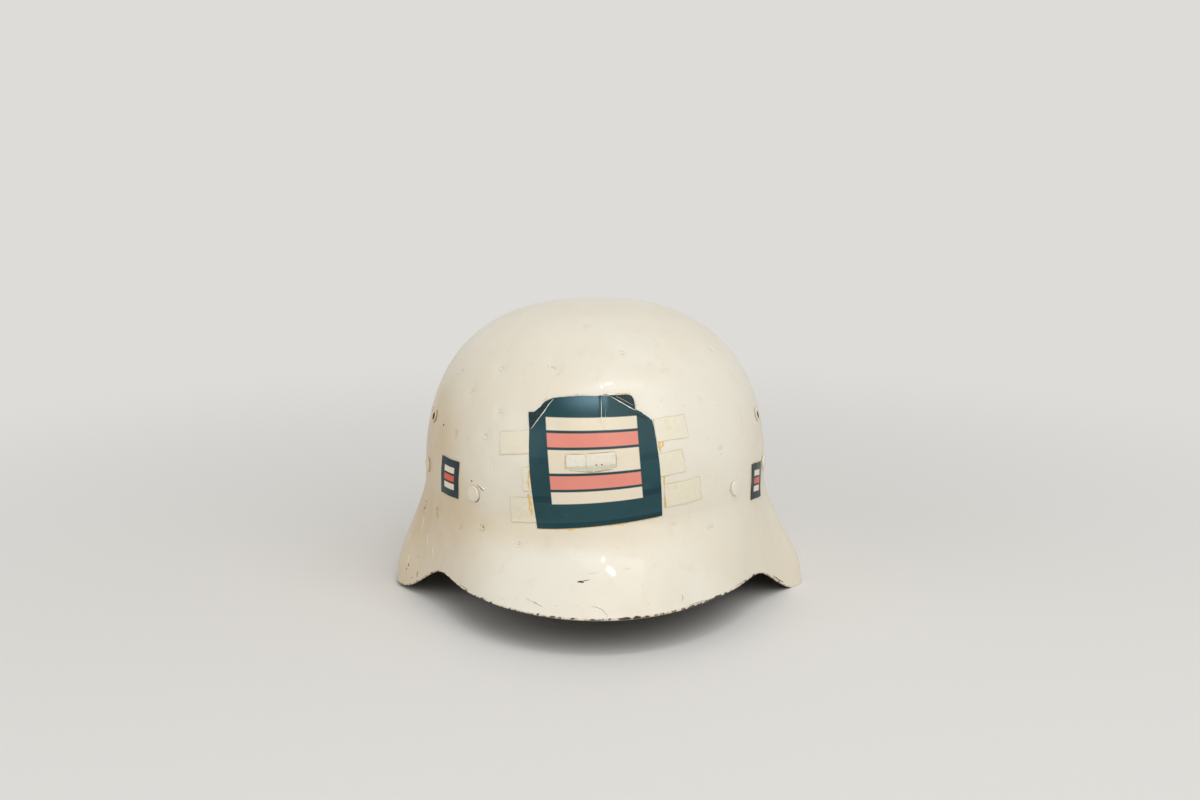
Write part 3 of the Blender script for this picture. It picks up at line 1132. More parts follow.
DARK_SPOTS = [  # angle, height, half length, half width
    (-77.5, 14.5, 0.5, 1.1), (-78.0, 11.8, 0.4, 0.7), (-75.5, 8.5, 0.6, 0.3),
    (-74.5, 21.5, 0.5, 0.3), (-77.5, 47.75, 0.5, 0.7), (-5.4, 36.4, 1.0, 0.55),
    (-39.5, 54.6, 0.9, 0.4), (-44.3, 78.2, 0.6, 0.5)]
SPOT_LIMITS = [(62, 298), (12, 150), (0.3, 1.0), (0.25, 0.6)]


def crack_round(rivet, start, stop, radius, width, seed):
    a = np.radians(np.linspace(start, stop, 9))
    far = radius + np.random.default_rng(seed).normal(0, 0.12, 9)
    return streak_parts(*beside(RIVETS[rivet], far * np.cos(a), far * np.sin(a)), width, seed=seed)


dirt = lines_at([(*beside(BRACKET, np.array(ps), np.array(qs), turn=BRACKET_TURN), width)
                 for ps, qs, width in STRIP_EDGES], 30, lift=0.5, thick=0.3)
strokes, soft = strokes_at(DARK_STROKES, 0), strokes_at(SOFT_STROKES, 50)
for first, last, above, width in RIM_DASHES:
    us = np.linspace(first, last, 6)
    strokes.append(streak_parts(us, rim_height(us) + above, width, seed=int(abs(first) * 3)))
strokes.append(crack_round(1, -15, -85, 4.75, 0.4, 31))
soft += [crack_round(*crack) for crack in [
    (0, 205, 130, 5.2, 0.2, 34), (0, -60, -100, 4.8, 0.35, 35), (2, 200, 100, 5.3, 0.28, 36),
    (3, 80, -30, 5.2, 0.3, 37), (4, 160, 20, 5.4, 0.35, 38), (5, -10, -120, 5.3, 0.3, 39),
    (6, 60, -60, 5.5, 0.4, 40)]]
rng = np.random.default_rng(19)
for k in range(30):
    u, z = float(rng.uniform(60, 300)), float(rng.uniform(24, 156))
    long, rise = rng.uniform(0.8, 2.4), rng.uniform(-1.2, 1.2)
    path = [(-long, -rise), (rng.uniform(-0.6, 0.6), rng.uniform(-0.5, 0.5)), (long, rise)]
    stroke = strokes_at([((u, z), path, rng.uniform(0.2, 0.5))], 100 + k)
    (strokes if k % 5 == 0 else soft).extend(stroke)
far_spots = [[rng.uniform(*limits) for limits in SPOT_LIMITS] for _ in range(18)]
strokes += [spot_parts(*spot, seed=200 + k) for k, spot in enumerate(DARK_SPOTS + far_spots)]
strokes += [spot_parts(u, z, 0.5, 0.35, lift=2.12, thick=0.5, seed=240 + k)
            for k, (u, z) in enumerate([(-0.75, 94.3), (0.9, 94.5)])]
pale = strokes_at(PALE_STROKES, 90, lift=0.13, thick=0.2)
for name, piece, dark, light, parts in [
        ("bared primer", "bared_marks", (58, 50, 42), (104, 90, 70), strokes),
        ("rubbed enamel", "pale_scratches", (236, 228, 208), (248, 243, 230), pale),
        ("dirt round the bracket", "bracket_dirt", (150, 122, 74), (196, 172, 124), dirt),
        ("cracked enamel", "fine_cracks", (196, 182, 154), (228, 219, 198), soft)]:
    mix = finish_named(name)
    tone = mix.blend(mix.noise(900, 3).span(0.4, 0.65), dark, light)
    flakes_piece(piece, parts, mix.finish(tone, 0.7))
print(len(strokes), "dark marks and", len(soft), "soft ones")

# %% Ridges of loose enamel beside the marks
rng = np.random.default_rng(23)
RIDGES = [((-65, 52.25), [(1.7, 2.7), (-1.2, 2.4), (0.3, 0.2), (-0.9, -2.2), (1.6, -2.8)], 1.2),
          ((-22, 26.3), [(-2.2, 1.4), (2.5, 0.0)], 0.5),
          ((-39.75, 53.6), [(-2, 0.2), (0, -0.6), (2, 0)], 1.0),
          (RIVETS[1], [(2.4, 6.3), (5.4, 5.0), (8.4, 3.4)], 0.8)]
OLD_OUTLINE = [([-37, -36.5], [93.25, 84.5], 0.3), ([-35.25, -34.75], [93.75, 85.25], 0.3),
               ([-37, -35.25], [93.25, 93.75], 0.3)]
ridges = strokes_at(RIDGES, 50, lift=0.55, thick=0.8)
for k, (u, z, _, radius) in enumerate([d for d in SEEN_DENTS[:16] * 2 + FAR_DENTS if d[3] < 3.9]):
    start = rng.uniform(0, 360)
    a = np.radians(np.linspace(start, start + rng.uniform(40, 120), 7))
    p, q = rng.uniform(0.6, 1.1) * radius * np.cos(a), rng.uniform(0.6, 1.0) * radius * np.sin(a)
    ridges.append(streak_parts(*beside((u, z), p, q), rng.uniform(0.5, 1.0), lift=0.34, thick=0.6,
                               seed=300 + k))
ridges += lines_at(OLD_OUTLINE, 340, lift=0.14, thick=0.25)
flakes_piece("enamel_ridges", ridges, enamel)

# %% [markdown]
# ## Folds and tears of the film
# The front sticker has lifted at both top corners and folded over, and a wrinkle runs down from its
# top edge. The folded parts are strips ruled between two measured paths, and every crease is a
# pale flake that follows the film's own height.

# %% Folded corners and pale creases
LEAF_THICK = 0.16
LEFT_CREASE = [(-23.0, 111.25), (-19.75, 119), (-18, 123.75), (-16.5, 126.75)]  # angle, height
RIGHT_CREASE = [(4.5, 128.6), (9, 124.9), (13, 121.3)]
LEAVES = [
    (LEFT_CREASE, [(-23.7, 112), (-24.7, 119.2), (-22.6, 119.7), (-20.6, 123.2), (-18.3, 126),
                   (-16.7, 127)]),
    (RIGHT_CREASE, [(4.3, 129.0), (9, 129.0), (12.2, 128.3), (13, 126.2), (13.1, 123.6),
                    (13, 121.4)])]
DARK_LINES = [  # angles, heights, width in mm
    ([0.65, 0.7, 0.7], [128.6, 125.5, 122.6], 0.5), ([10.5, 13.5, 17.2], [120.6, 119.2, 116.6], 1.0),
    ([1.6, 3.2, 4.4], [129.0, 129.3, 128.6], 0.45)]
PALE_LINES = [
    (*zip(*LEFT_CREASE), 0.42), (*zip(*RIGHT_CREASE), 0.5),
    ([6.5, 9.5, 12.6], [128.5, 126.25, 123.6], 0.22),
    ([1.05, 1.05, 1.1], [128.2, 121.5, 114.75], 0.3),
    ([2.6, 2.4, 2.0, 2.1], [122.25, 118, 113.75, 111.5], 0.14),
    ([1.0, 1.9, 3.2, 4.4], [128.2, 128.8, 128.9, 128.4], 0.24),
    ([-24.9, -22.7, -21.0, -19.6, -16.8], [120.1, 120.5, 122.7, 125.9, 127.9], 0.6),
    ([12.9, 13.7, 13.8, 14.8, 17.1, 18.8], [128.3, 126, 121.7, 120.9, 118.3, 115.8], 0.6),
    ([-14, -9, -4], [128.2, 128.7, 129.1], 0.2)]


def leaf_parts(first, second):
    """A closed strip of film between two paths of angles and heights."""
    at, share = np.linspace(0, 1, 19), np.linspace(0, 1, 7)[:, None, None]
    first, second = (
        np.array([np.interp(at, np.linspace(0, 1, len(path)), column) for column in zip(*path)])
        for path in (first, second))
    u, z = np.moveaxis(first * (1 - share) + second * share, 1, 0)
    stand = film_stand(u, z) + LEAF_THICK + 0.06 * np.sin(u * 7 + z * 5)
    return slab_parts(laid(u, z, stand), laid(u, z, stand - LEAF_THICK))


folds = [leaf_parts(*paths) for paths in LEAVES]
folds += lines_at(DARK_LINES, 400, lift=lambda u, z: film_stand(u, z) + 0.1)
creases = lines_at(PALE_LINES, 420, lift=lambda u, z: film_stand(u, z) + 0.24, thick=0.2)
for name, piece, dark, light, parts in [
        ("film's back", "film_folds", (20, 42, 48), (40, 66, 70), folds),
        ("film's torn edge", "film_creases", (250, 248, 240), (214, 216, 208), creases)]:
    mix = finish_named(name)
    grain = mix.noise(700, 4, 0.6)
    tone = mix.blend(grain.span(0.45, 0.72), dark, light)
    finish = mix.finish(tone, 0.45, mix.bump(grain, 0.0002, 0.6), Specular_IOR_Level=0.25)
    flakes_piece(piece, parts, finish, "sticker_film", sharp=60)
print(len(PALE_LINES), "creases")

# %% [markdown]
# ## Old glue
# Amber glue has crept out from under the stickers and the tape. Each smear is a flat flake, and its
# finish is the enamel with an amber stain over it that comes and goes, so that it has no hard edge.

# %% Amber smears
SMEARS = [  # angles, heights, width in mm
    ([20.3, 20.1, 20.4], [99.5, 105.0, 114.5], 1.6), ([20.6, 21.6, 21.2], [101.5, 103.5, 106.0], 1.5),
    ([21.0, 21.0], [69.0, 77.0], 1.4), ([20.9, 21.0], [80.0, 95.0], 1.2),
    ([-20.9, -21.4, -22.3], [65.5, 70.0, 77.0], 2.4), ([-22.0, -22.5], [78.5, 90.0], 1.4),
    ([-18.5, -10.0, 0.0, 10.0, 19.5], [58.5, 59.3, 61.0, 62.8, 64.6], 0.5),
    ([-10.0, -7.5], [59.1, 59.5], 1.2), ([3.0, 9.0], [61.3, 62.3], 1.0),
    ([13.5, 19.0], [63.2, 64.2], 0.8), ([-8.6, -7.4], [129.4, 129.9], 0.8),
    ([6.5, 12.5], [129.9, 129.6], 0.9), ([-20.4, -19.0], [125.4, 127.3], 0.7),
    ([62.0, 65.5], [80.4, 79.8], 1.8),
    ([60.3, 60.5], [61.0, 79.0], 0.5), ([-60.4, -59.0], [64.2, 64.0], 0.7)]
OVER_TAPE = (4, 5)
mix, tone, _, normal = enamelled("amber glue")
stain = mix.noise(260, 4, 0.6).span(0.3, 0.58, 0.2, 0.95)
glue = mix.finish(mix.blend(stain, tone, (232, 190, 96)), 0.3, normal)
smears = [streak_parts(*smear, lift=0.36 if k in OVER_TAPE else 0.12, thick=0.16, seed=70 + k)
          for k, smear in enumerate(SMEARS)]
flakes_piece("glue_smears", smears, glue, "sticker_film")

# %% [markdown]
# ## Inside: steel that stays as it is
# Headband, springs, washers, rivets, clips, bails and buckle are solids of the frame with the right
# shape, so only their surface is made here. Zinc is pale and cloudy, the band and the springs are
# darker rolled strip with rust starting in spots, and the wire of the chinstrap is grey and rubbed.

# %% Four kinds of steel
def steel_finish(name, light, dark, rust_share, rough_low, rough_high):
    mix = finish_named(name)
    cloud = mix.noise(85, 5, 0.6)
    tone = mix.blend(cloud.span(0.3, 0.7), light, dark)
    drawn = mix.noise(1400, 2, stretch=(1, 1, 0.06)).span(0.4, 0.7, 0.0, 0.25)
    rust = mix.noise(260, 5, 0.7).span(0.54, 0.7) * mix.noise(47, 3).span(0.5, 0.62, 0.0, rust_share)
    tone = mix.blend(rust, mix.blend(drawn, tone, dark), (112, 66, 38))
    rough = rust * 0.35 + cloud.span(0.3, 0.7, rough_low, rough_high)
    drawn_lines = mix.bump(mix.noise(620, 4), 0.00005, 0.7)
    return mix.finish(tone, rough, drawn_lines, Metallic=rust * -0.85 + 1.0)


mix, tone, rough, normal = enamelled("painted eyelet")
x, y, z = mix.split(mix.place)
from_axis = mix.get("ShaderNodeCombineXYZ", {0: abs(x), 1: y, 2: z})
for operation, other in (("SUBTRACT", on_shell(*VENTS[0]) * MM),
                         ("CROSS_PRODUCT", square_off(*VENTS[0]))):
    from_axis = mix.get("ShaderNodeVectorMath", {0: from_axis, 1: tuple(other)}, operation=operation)
off_axis = mix.get("ShaderNodeVectorMath", {0: from_axis}, "Value", operation="LENGTH")
tone = mix.blend(off_axis.span(0.0024, 0.0021), tone, (46, 38, 30))
eyelet = mix.finish(tone, rough, normal)
STEELS = {
    steel_finish("dull zinc", (182, 181, 175), (146, 144, 138), 0.5, 0.34, 0.5):
        ["rivet_washers", "headband_rivets", "clip_rivet_left", "clip_rivet_right",
         "strap_short_rivets", "strap_long_rivets"],
    steel_finish("rolled strip", (126, 126, 121), (94, 93, 88), 0.9, 0.4, 0.55): ["headband"],
    steel_finish("spring steel", (104, 106, 110), (70, 71, 74), 0.6, 0.32, 0.46):
        [name for name in nodes if name.startswith("spring_")],
    steel_finish("rubbed grey wire", (150, 149, 145), (108, 106, 100), 0.7, 0.3, 0.46):
        ["clip_left", "clip_right", "bail_left", "bail_right", "buckle_frame", "buckle_roller",
         "buckle_prong"],
    eyelet: ["vent_eyelet_left", "vent_eyelet_right"]}
for finish, names in STEELS.items():
    for node in map(nodes.get, names):
        if not node.material_slots:
            node.data.materials.append(finish)
        for holder in node.material_slots:
            holder.material = finish
print(sum(map(len, STEELS.values())), "solids keep their shape and get a finish")

# %% [markdown]
# ## Leather
# The liner is tan leather gone dark where hair and sweat touched it. Leather has a grain of tiny
# raised cells, which a Voronoi pattern makes when its cell borders are pressed down, and broader
# wrinkles on top. The strap's leather is darker and shinier, and its edges are burnished nearly
# black, so its finish also reads how far across the strap a point lies.

# %% Leather finishes
def leather_finish(name, light, dark, grease, grain_scale, rough_low, rough_high, burnished=False):
    mix = finish_named(name)
    cloud = mix.noise(26, 5, 0.6)
    tone = mix.blend(cloud.span(0.32, 0.68), light, dark)
    tone = mix.blend(mix.noise(70, 4, 0.65).span(0.52, 0.72, 0.0, 0.6), tone, grease)
    cells = mix.cells(grain_scale, "DISTANCE_TO_EDGE")
    tone = mix.blend(cells.span(0.1, 0.0, 0.0, 0.35), tone, grease)
    if burnished:
        across = abs(mix.attribute("across"))
        tone = mix.blend(across.span(0.86, 1.0, 0.0, 0.8), tone, (26, 16, 10))
        rubbed = across.span(0.55, 0.1) * mix.noise(120, 4).span(0.5, 0.7, 0.0, 0.5)
        tone = mix.blend(rubbed, tone, light)
    wrinkle = mix.bump(mix.noise(150, 4, 0.6), 0.0005, 0.6)
    return mix.finish(tone, cloud.span(0.3, 0.7, rough_low, rough_high),
                      mix.bump(cells.span(0.0, 0.16), 0.00014, 0.7, wrinkle))


liner_leather = leather_finish("liner leather", (163, 116, 74), (128, 84, 50), (82, 50, 30),
                               900, 0.5, 0.68)
strap_leather = leather_finish("strap leather", (104, 66, 40), (66, 40, 25), (38, 23, 15),
                               1100, 0.36, 0.55, burnished=True)
mix = finish_named("linen thread")
tone = mix.blend(mix.noise(500, 3).span(0.3, 0.7), (196, 178, 140), (150, 128, 92))
thread = mix.finish(tone, 0.8, mix.bump(mix.noise(2600, 2), 0.00008, 0.8))
print("leathers and thread mixed")

# %% [markdown]
# ## The liner
# The liner is one strip of leather: a wall that stands against the headband, and nine fingers that
# lean in to the crown, where a lace draws them together. A grid is laid with the columns of every
# finger spread between two gaps, so the gaps are real openings with straight edges and a round
# start, and each finger ends in a round tip. Solidify then gives the leather its thickness.

# %% Wall and fingers
BAND_INSET, BAND_THICK, SEAT, LEATHER = 9.0, 0.8, 0.3, 1.6
LEATHER_DEPTH = BAND_INSET + BAND_THICK + SEAT
LINER_WAIST, LINER_CROWN, LINER_POWER = 80.0, 137.0, 2.4
FINGERS, GAP, SLOT_START, CROWN_OPENING = 9, 5.0, 94.0, 12.0
WALL_LEVELS, BEND_LEVELS, COLUMNS_EACH = (60.5, 60.9, 62, 65, 69, 73, 77), 6, 15
TIP_ROUNDING, CURL, SEAM = 9.0, 0.7, 0.3
HALF_FINGER = 180 // FINGERS  # degrees
CENTRES = [HALF_FINGER * (2 * k + 1) - 180 for k in range(FINGERS)]


def liner_face(u, t):
    """Outer face of the leather's dome, t degrees down from its crown, in mm."""
    u, t = np.broadcast_arrays(np.asarray(u, float), np.asarray(t, float))
    a, r = np.radians(u), np.sin(np.radians(t)) ** (2 / LINER_POWER)
    h = np.clip(np.cos(np.radians(t)), 0, 1) ** (2 / LINER_POWER)
    return np.stack([(DOME_HALF - LEATHER_DEPTH) * r * np.sin(a),
                     DOME_Y - (depth_of(u) - LEATHER_DEPTH) * r * np.cos(a),
                     LINER_WAIST + (LINER_CROWN - LINER_WAIST) * h], -1)


def tilt_at(height):
    """Tilt t at which the leather's face has a height."""
    share = (height - LINER_WAIST) / (LINER_CROWN - LINER_WAIST)
    return math.degrees(math.acos(share ** (LINER_POWER / 2)))


lean = np.linspace(-1, 1, COLUMNS_EACH)
levels = [("wall", z, SEAM) for z in WALL_LEVELS]
levels += [("dome", t, SEAM) for t in np.linspace(90, tilt_at(SLOT_START - GAP / 2), BEND_LEVELS)]
open_from = len(levels)
levels += [("dome", tilt_at(SLOT_START - GAP / 2 * math.cos(a)), GAP / 2 * math.sin(a))
           for a in np.radians([25, 45, 65, 90])]
levels += [("dome", t, GAP / 2) for t in np.linspace(tilt_at(SLOT_START), CROWN_OPENING, 22)[1:]]
sag = np.random.default_rng(9).uniform(-0.8, 1.1, FINGERS)
grid_rows = []
for kind, value, half_gap in levels:
    cells = []
    for centre, hang in zip(CENTRES, sag):
        r = 1.0 if kind == "wall" else math.sin(math.radians(value)) ** (2 / LINER_POWER)
        per_degree = math.radians(1) * r * (DOME_HALF - LEATHER_DEPTH + 5)
        u = centre + lean * (HALF_FINGER - half_gap / per_degree)
        if kind == "wall":
            base = liner_face(u, 90.0)
            base[:, 2] = value
        else:
            share = max(0.0, (value - CROWN_OPENING)) / (90 - CROWN_OPENING)
            rounding = TIP_ROUNDING * (1 - np.sqrt(np.clip(1 - (0.98 * lean) ** 2, 0, 1)))
            base = liner_face(u, value + rounding * max(0, 1 - share * 2.2))
            base[:, 2] += (hang * math.sin(math.pi * share) * max(0, 1 - share)
                           + CURL * lean**2 * max(0.0, 1 - share * 1.6))
        cells.append(base)
    grid_rows.append(np.concatenate(cells))
count = FINGERS * COLUMNS_EACH
at = np.arange(len(levels) * count).reshape(-1, count)
faces = [[at[i, j], at[i, (j + 1) % count], at[i + 1, (j + 1) % count], at[i + 1, j]]
         for i in range(len(levels) - 1) for j in range(count)
         if (j + 1) % COLUMNS_EACH or i < open_from]
liner = piece_from("leather_fingers", np.stack(grid_rows), faces, [liner_leather], sharp=55)
wall = liner.modifiers.new("thickness", "SOLIDIFY")
wall.thickness, wall.offset, wall.use_even_offset = LEATHER * MM, -1.0, True
settled(liner)
print("liner has", FINGERS, "fingers and", len(liner.data.vertices), "points")

# %% [markdown]
# Each finger is punched with five round holes that let air through, and two smaller ones at its tip
# for the lace. The copy tree stands a little bar on every spot, square to the leather, and a Boolean
# takes all of them out at once.

# %% Punch the holes
HOLES = [  # name, radius, places of a finger's holes
    ("air holes", 2.1, [(0, 66), (-7.5, 60), (7.5, 60), (-5.5, 50), (5.5, 50)]),
    ("lace holes", 1.5, [(-6.5, 23.5), (6.5, 23.5)])]
for name, radius, places in HOLES:
    us, ts = np.array([(centre + du, t) for centre in CENTRES for du, t in places], float).T
    square = unit(np.cross(liner_face(us + 0.5, ts) - liner_face(us - 0.5, ts),
                           liner_face(us, ts - 0.4) - liner_face(us, ts + 0.4)))
    bar = lathe_parts([(0, -4.0), (radius, -4.0), (radius, 4.0), (0, 4.0)], 18)
    cut_by(liner, copies_on(name, liner_face(us, ts), square, bar, liner_leather))
mounted(liner, "helmet", "liner_leather", "leather_liner")

# %% [markdown]
# A narrow strip is folded over the wall's lower edge inside and sewn through. Rings of a rounded
# outline are set round the head, and a second node tree puts a stitch at every few millimetres of a
# line, lying along it. The tree is used again on the straps.

# %% The sewn hem and a tree for stitches
HEM_DEPTH, HEM_THICK, HEM_HIGH, HEM_Z = LEATHER_DEPTH + LEATHER + 0.45, 0.9, 7.6, 64.4
SEAM_DEPTH, SEAM_Z = LEATHER_DEPTH + LEATHER + 0.95, 66.9


def hoop(depth, z):
    u = np.linspace(-180, 180, 180, endpoint=False)
    a = np.radians(u)
    return np.stack([(DOME_HALF - depth) * np.sin(a), DOME_Y - (depth_of(u) - depth) * np.cos(a),
                     np.full(len(u), z)], -1)


rings = np.stack([hoop(HEM_DEPTH - across, HEM_Z + up)
                  for across, up in rounded_outline(HEM_THICK, HEM_HIGH, 0.4, 3)], 1)
hem = piece_from("liner_hem", *swept_parts(rings, closed=True), [liner_leather], sharp=60)
mounted(turned_right(hem), "helmet", "liner_leather")

stitching, given = tree_named("stitches along a line", Line=("Geometry",), Pattern=("Object",),
                              Pitch=("Float",), Finish=("Material",))
curve = stitching.get("GeometryNodeMeshToCurve", {"Mesh": given["Line"]})
dots = stitching.add("GeometryNodeCurveToPoints", {"Curve": curve, "Length": given["Pitch"]},
                     mode="LENGTH")
pattern = stitching.get("GeometryNodeObjectInfo", {"Object": given["Pattern"]}, "Geometry")
places, turns = (Value(stitching, dots.outputs[key]) for key in ("Points", "Rotation"))
set_out = stitching.get("GeometryNodeInstanceOnPoints", {"Points": places, "Instance": pattern,
                                                         "Rotation": turns})
made_real(stitching, set_out, given["Finish"])


def stitches_along(name, lines, pitch, length, radius):
    """Stitches lying along open lines (mm), as one mesh."""
    ends = np.cumsum([len(line) for line in lines])
    edges = [(i, i + 1) for i in range(ends[-1] - 1) if i + 1 not in ends]
    mesh = bpy.data.meshes.new(name)
    mesh.from_pydata((np.concatenate(lines) * MM).tolist(), edges, [])
    half = length / 2
    profile = [(0, -half), (0.6 * radius, -half + 0.1), (radius, -half + 0.5), (radius, half - 0.5),
               (0.6 * radius, half - 0.1), (0, half)]
    model = piece_from(name + " model", *lathe_parts(profile, 8), [thread])
    sewn = grown(placed(name, mesh), stitching, Pattern=model, Pitch=pitch * MM, Finish=thread)
    sewn.data.shade_smooth()
    return sewn


seam = hoop(SEAM_DEPTH, SEAM_Z)
hem_stitches = stitches_along("hem_stitches", [np.concatenate([seam, seam[:1]])], 4.2, 2.9, 0.42)
mounted(hem_stitches, "helmet", "liner_leather")

# %% [markdown]
# ## The crown lace
# A twisted lace runs through the fingertips, over each finger and under each gap, and is tied in
# front, with two short ends hanging inside. It is a tube along a closed line, and it carries three
# numbers at every point: how far along it lies, and the cosine and sine of its place round the tube.
# With them its finish can wind the strands round it like a rope's.

# %% Lace, knot and ends
LACE_RADIUS, KNOT_RADIUS, RING_RADIUS, KNOT_ROW, TWIST = 1.15, 1.1, 28.5, 144, 2.8


def tube_parts(path, radius, closed=False, sides=10):
    """Points, faces and winding numbers of a tube along a path (mm)."""
    if closed:
        ahead = unit(np.roll(path, -1, axis=0) - np.roll(path, 1, axis=0))
    else:
        ahead = unit(np.gradient(path, axis=0))
    side = np.cross(ahead[0], [0, 0, 1])
    side = unit(side if np.linalg.norm(side) > 0.1 else np.cross(ahead[0], [0, 1, 0]))
    a = np.linspace(0, 2 * math.pi, sides, endpoint=False)
    rings, winding, length = [], [], 0.0
    for i, point in enumerate(path):
        side = unit(side - ahead[i] * np.dot(side, ahead[i]))
        up = np.cross(ahead[i], side)
        rings.append(point + radius * (np.cos(a)[:, None] * side + np.sin(a)[:, None] * up))
        winding.append(np.stack([np.full(sides, length), np.cos(a), np.sin(a)], -1))
        if i + 1 < len(path):
            length += float(np.linalg.norm(path[i + 1] - point))
    return swept_parts(rings, closed), np.concatenate(winding)


def liner_height(x, y):
    """Height of the leather's outer face over a place near the crown."""
    deep = np.where(y < DOME_Y, DOME_FRONT, DOME_REAR) - LEATHER_DEPTH
    r = np.sqrt((x / (DOME_HALF - LEATHER_DEPTH)) ** 2 + ((y - DOME_Y) / deep) ** 2)
    return LINER_WAIST + (LINER_CROWN - LINER_WAIST) * (1 - r**LINER_POWER) ** (1 / LINER_POWER)


turn = np.linspace(-180, 180, 288, endpoint=False)
weave = np.cos(np.radians(FINGERS * (turn - HALF_FINGER)))
radius = RING_RADIUS + 0.8 * np.sin(np.radians(3 * turn))
x, y = radius * np.sin(np.radians(turn)), DOME_Y - radius * np.cos(np.radians(turn))
ring = np.stack([x, y, liner_height(x, y) + 0.1 + 1.9 * np.tanh(2.2 * weave)], -1)
knot_at = ring[KNOT_ROW] + [0, -1.0, -1.2]
t = np.linspace(0, 2 * math.pi, 60, endpoint=False)
knot = np.stack([np.sin(t) + 2 * np.sin(2 * t), np.cos(t) - 2 * np.cos(2 * t),
                 -1.2 * np.sin(3 * t)], -1)
tubes = [tube_parts(ring, LACE_RADIUS, True), tube_parts(knot_at + knot * 1.15, KNOT_RADIUS, True)]
s = np.linspace(0, 1, 24)[:, None]
for side in (-1, 1):
    end = [side * (1.5 + 5.5 * s**0.7), 2.0 + 1.5 * np.sin(3 * s), -1 - (15 + 3 * side) * s**1.4]
    tubes.append(tube_parts(knot_at + np.concatenate(end, 1), KNOT_RADIUS))
mix = finish_named("twisted lace")
along, cosine, sine = mix.split(mix.attribute("winding", "Vector"))
phase = along * (2 * math.pi / TWIST)
strand = abs(phase.math("SINE") * cosine + phase.math("COSINE") * sine)
tone = mix.blend(strand, (112, 84, 52), (168, 136, 92))
tone = mix.blend(mix.noise(120, 4).span(0.45, 0.7, 0.0, 0.5), tone, (92, 66, 42))
lace_finish = mix.finish(tone, 0.72, mix.bump(strand, 0.0004, 0.8))
lace = piece_from("drawn_lace", *joined(parts for parts, _ in tubes), [lace_finish], sharp=80)
numbers_on(lace, "winding", np.concatenate([winding for _, winding in tubes]))
mounted(turned_right(lace, merge=False), "helmet", "lace_leather", "crown_lace")

# %% [markdown]
# ## The two halves of the chinstrap
# Each half hangs from its bail on a folded loop, lies on the table and ends in the buckle or in a
# pointed tip with holes. A strap is a flat band of leather, so a rounded outline is swept along the
# line of its middle, the same line as the solid's. The band is resampled finely and given slight
# waves, its edges are rounded, and it becomes narrower towards the tip.

# %% The lines that the straps follow
STRAP_Y, STRAP_WIDTH, STRAP_THICK = DOME_Y + 10, 15.0, 1.8
CLIP_THICK, BAIL_WIRE, BUCKLE_WIRE, FIT, KEEPER_THICK = 1.0, 2.6, 2.4, 0.1, 1.2
BAIL_PIVOT, BAIL_DROP, BEND, FOLD_RADIUS, BUCKLE_RUN, LONG_RUN = 52.5, 13, 10.0, 2.5, 50.0, 97.0
HANG_X, BAIL_LOW = DOME_HALF - BAND_INSET + SEAT + CLIP_THICK / 2, BAIL_PIVOT - BAIL_DROP
LOOP_RADIUS, BUCKLE_LOOP = (wire / 2 + FIT + STRAP_THICK / 2 for wire in (BAIL_WIRE, BUCKLE_WIRE))
OFFSET, LONG_HEIGHT = STRAP_THICK / 2 + 0.05, SEAT + STRAP_THICK / 2
SHORT_HEIGHT = 2 * SEAT + KEEPER_THICK + STRAP_THICK / 2
BUCKLE_HEIGHT, SHORT_END = SHORT_HEIGHT + BUCKLE_LOOP, SHORT_HEIGHT + 2 * OFFSET
TIP_X, TIP_Z = LONG_RUN - 9, LONG_HEIGHT + 4 * FOLD_RADIUS


def arc(x, z, r, start, stop, steps=12):
    a = np.radians(np.linspace(start, stop, steps + 1))
    return [(x + r * math.cos(k), z + r * math.sin(k)) for k in a]


def hanging(height):
    """The folded loop over the bail, the way down and the bend onto the table."""
    return [(OFFSET, BAIL_LOW - 24), (OFFSET, BAIL_LOW - 11),
            *arc(0, BAIL_LOW, LOOP_RADIUS, 0, 180, 16), (-OFFSET, BAIL_LOW - 11),
            *arc(BEND - OFFSET, height + BEND, BEND, 180, 270)]


short_line = [*hanging(SHORT_HEIGHT), *arc(BUCKLE_RUN, BUCKLE_HEIGHT, BUCKLE_LOOP, -90, 90, 16),
              (BUCKLE_RUN - 1.5, BUCKLE_HEIGHT + BUCKLE_LOOP), (BUCKLE_RUN - 7, SHORT_END),
              (BUCKLE_RUN - 14, SHORT_END)]
long_line = [*hanging(LONG_HEIGHT), *arc(LONG_RUN, LONG_HEIGHT + FOLD_RADIUS, FOLD_RADIUS, -90, 90),
             *arc(14, LONG_HEIGHT + 3 * FOLD_RADIUS, FOLD_RADIUS, 270, 90), (TIP_X, TIP_Z)]


def resampled(line):
    """A line with a point at each mm and corner, the way square to it, and the length so far."""
    line = np.asarray(line, float)
    length = np.concatenate([[0], np.cumsum(np.linalg.norm(np.diff(line, axis=0), axis=1))])
    at = np.linspace(0, length[-1], int(length[-1]) + 1)
    at = np.unique(np.round(np.concatenate([at, length]), 4))
    centre = np.stack([np.interp(at, length, line[:, k]) for k in (0, 1)], -1)
    ahead = unit(np.gradient(centre, axis=0))
    return centre, np.stack([-ahead[:, 1], ahead[:, 0]], -1), at


def strap_side(side, x, y, z):
    """World place of a point inward of a strap's hanging line."""
    return np.stack(np.broadcast_arrays(side * (HANG_X - np.asarray(x, float)),
                                        STRAP_Y + np.asarray(y, float), z), -1)


def leather_piece(name, rings, across, closed=False):
    """A piece of strap leather, with its place across the strap at every point."""
    made = piece_from(name, *swept_parts(rings, closed), [strap_leather], sharp=60)
    numbers_on(made, "across", np.concatenate(across))
    return turned_right(made, merge=False)


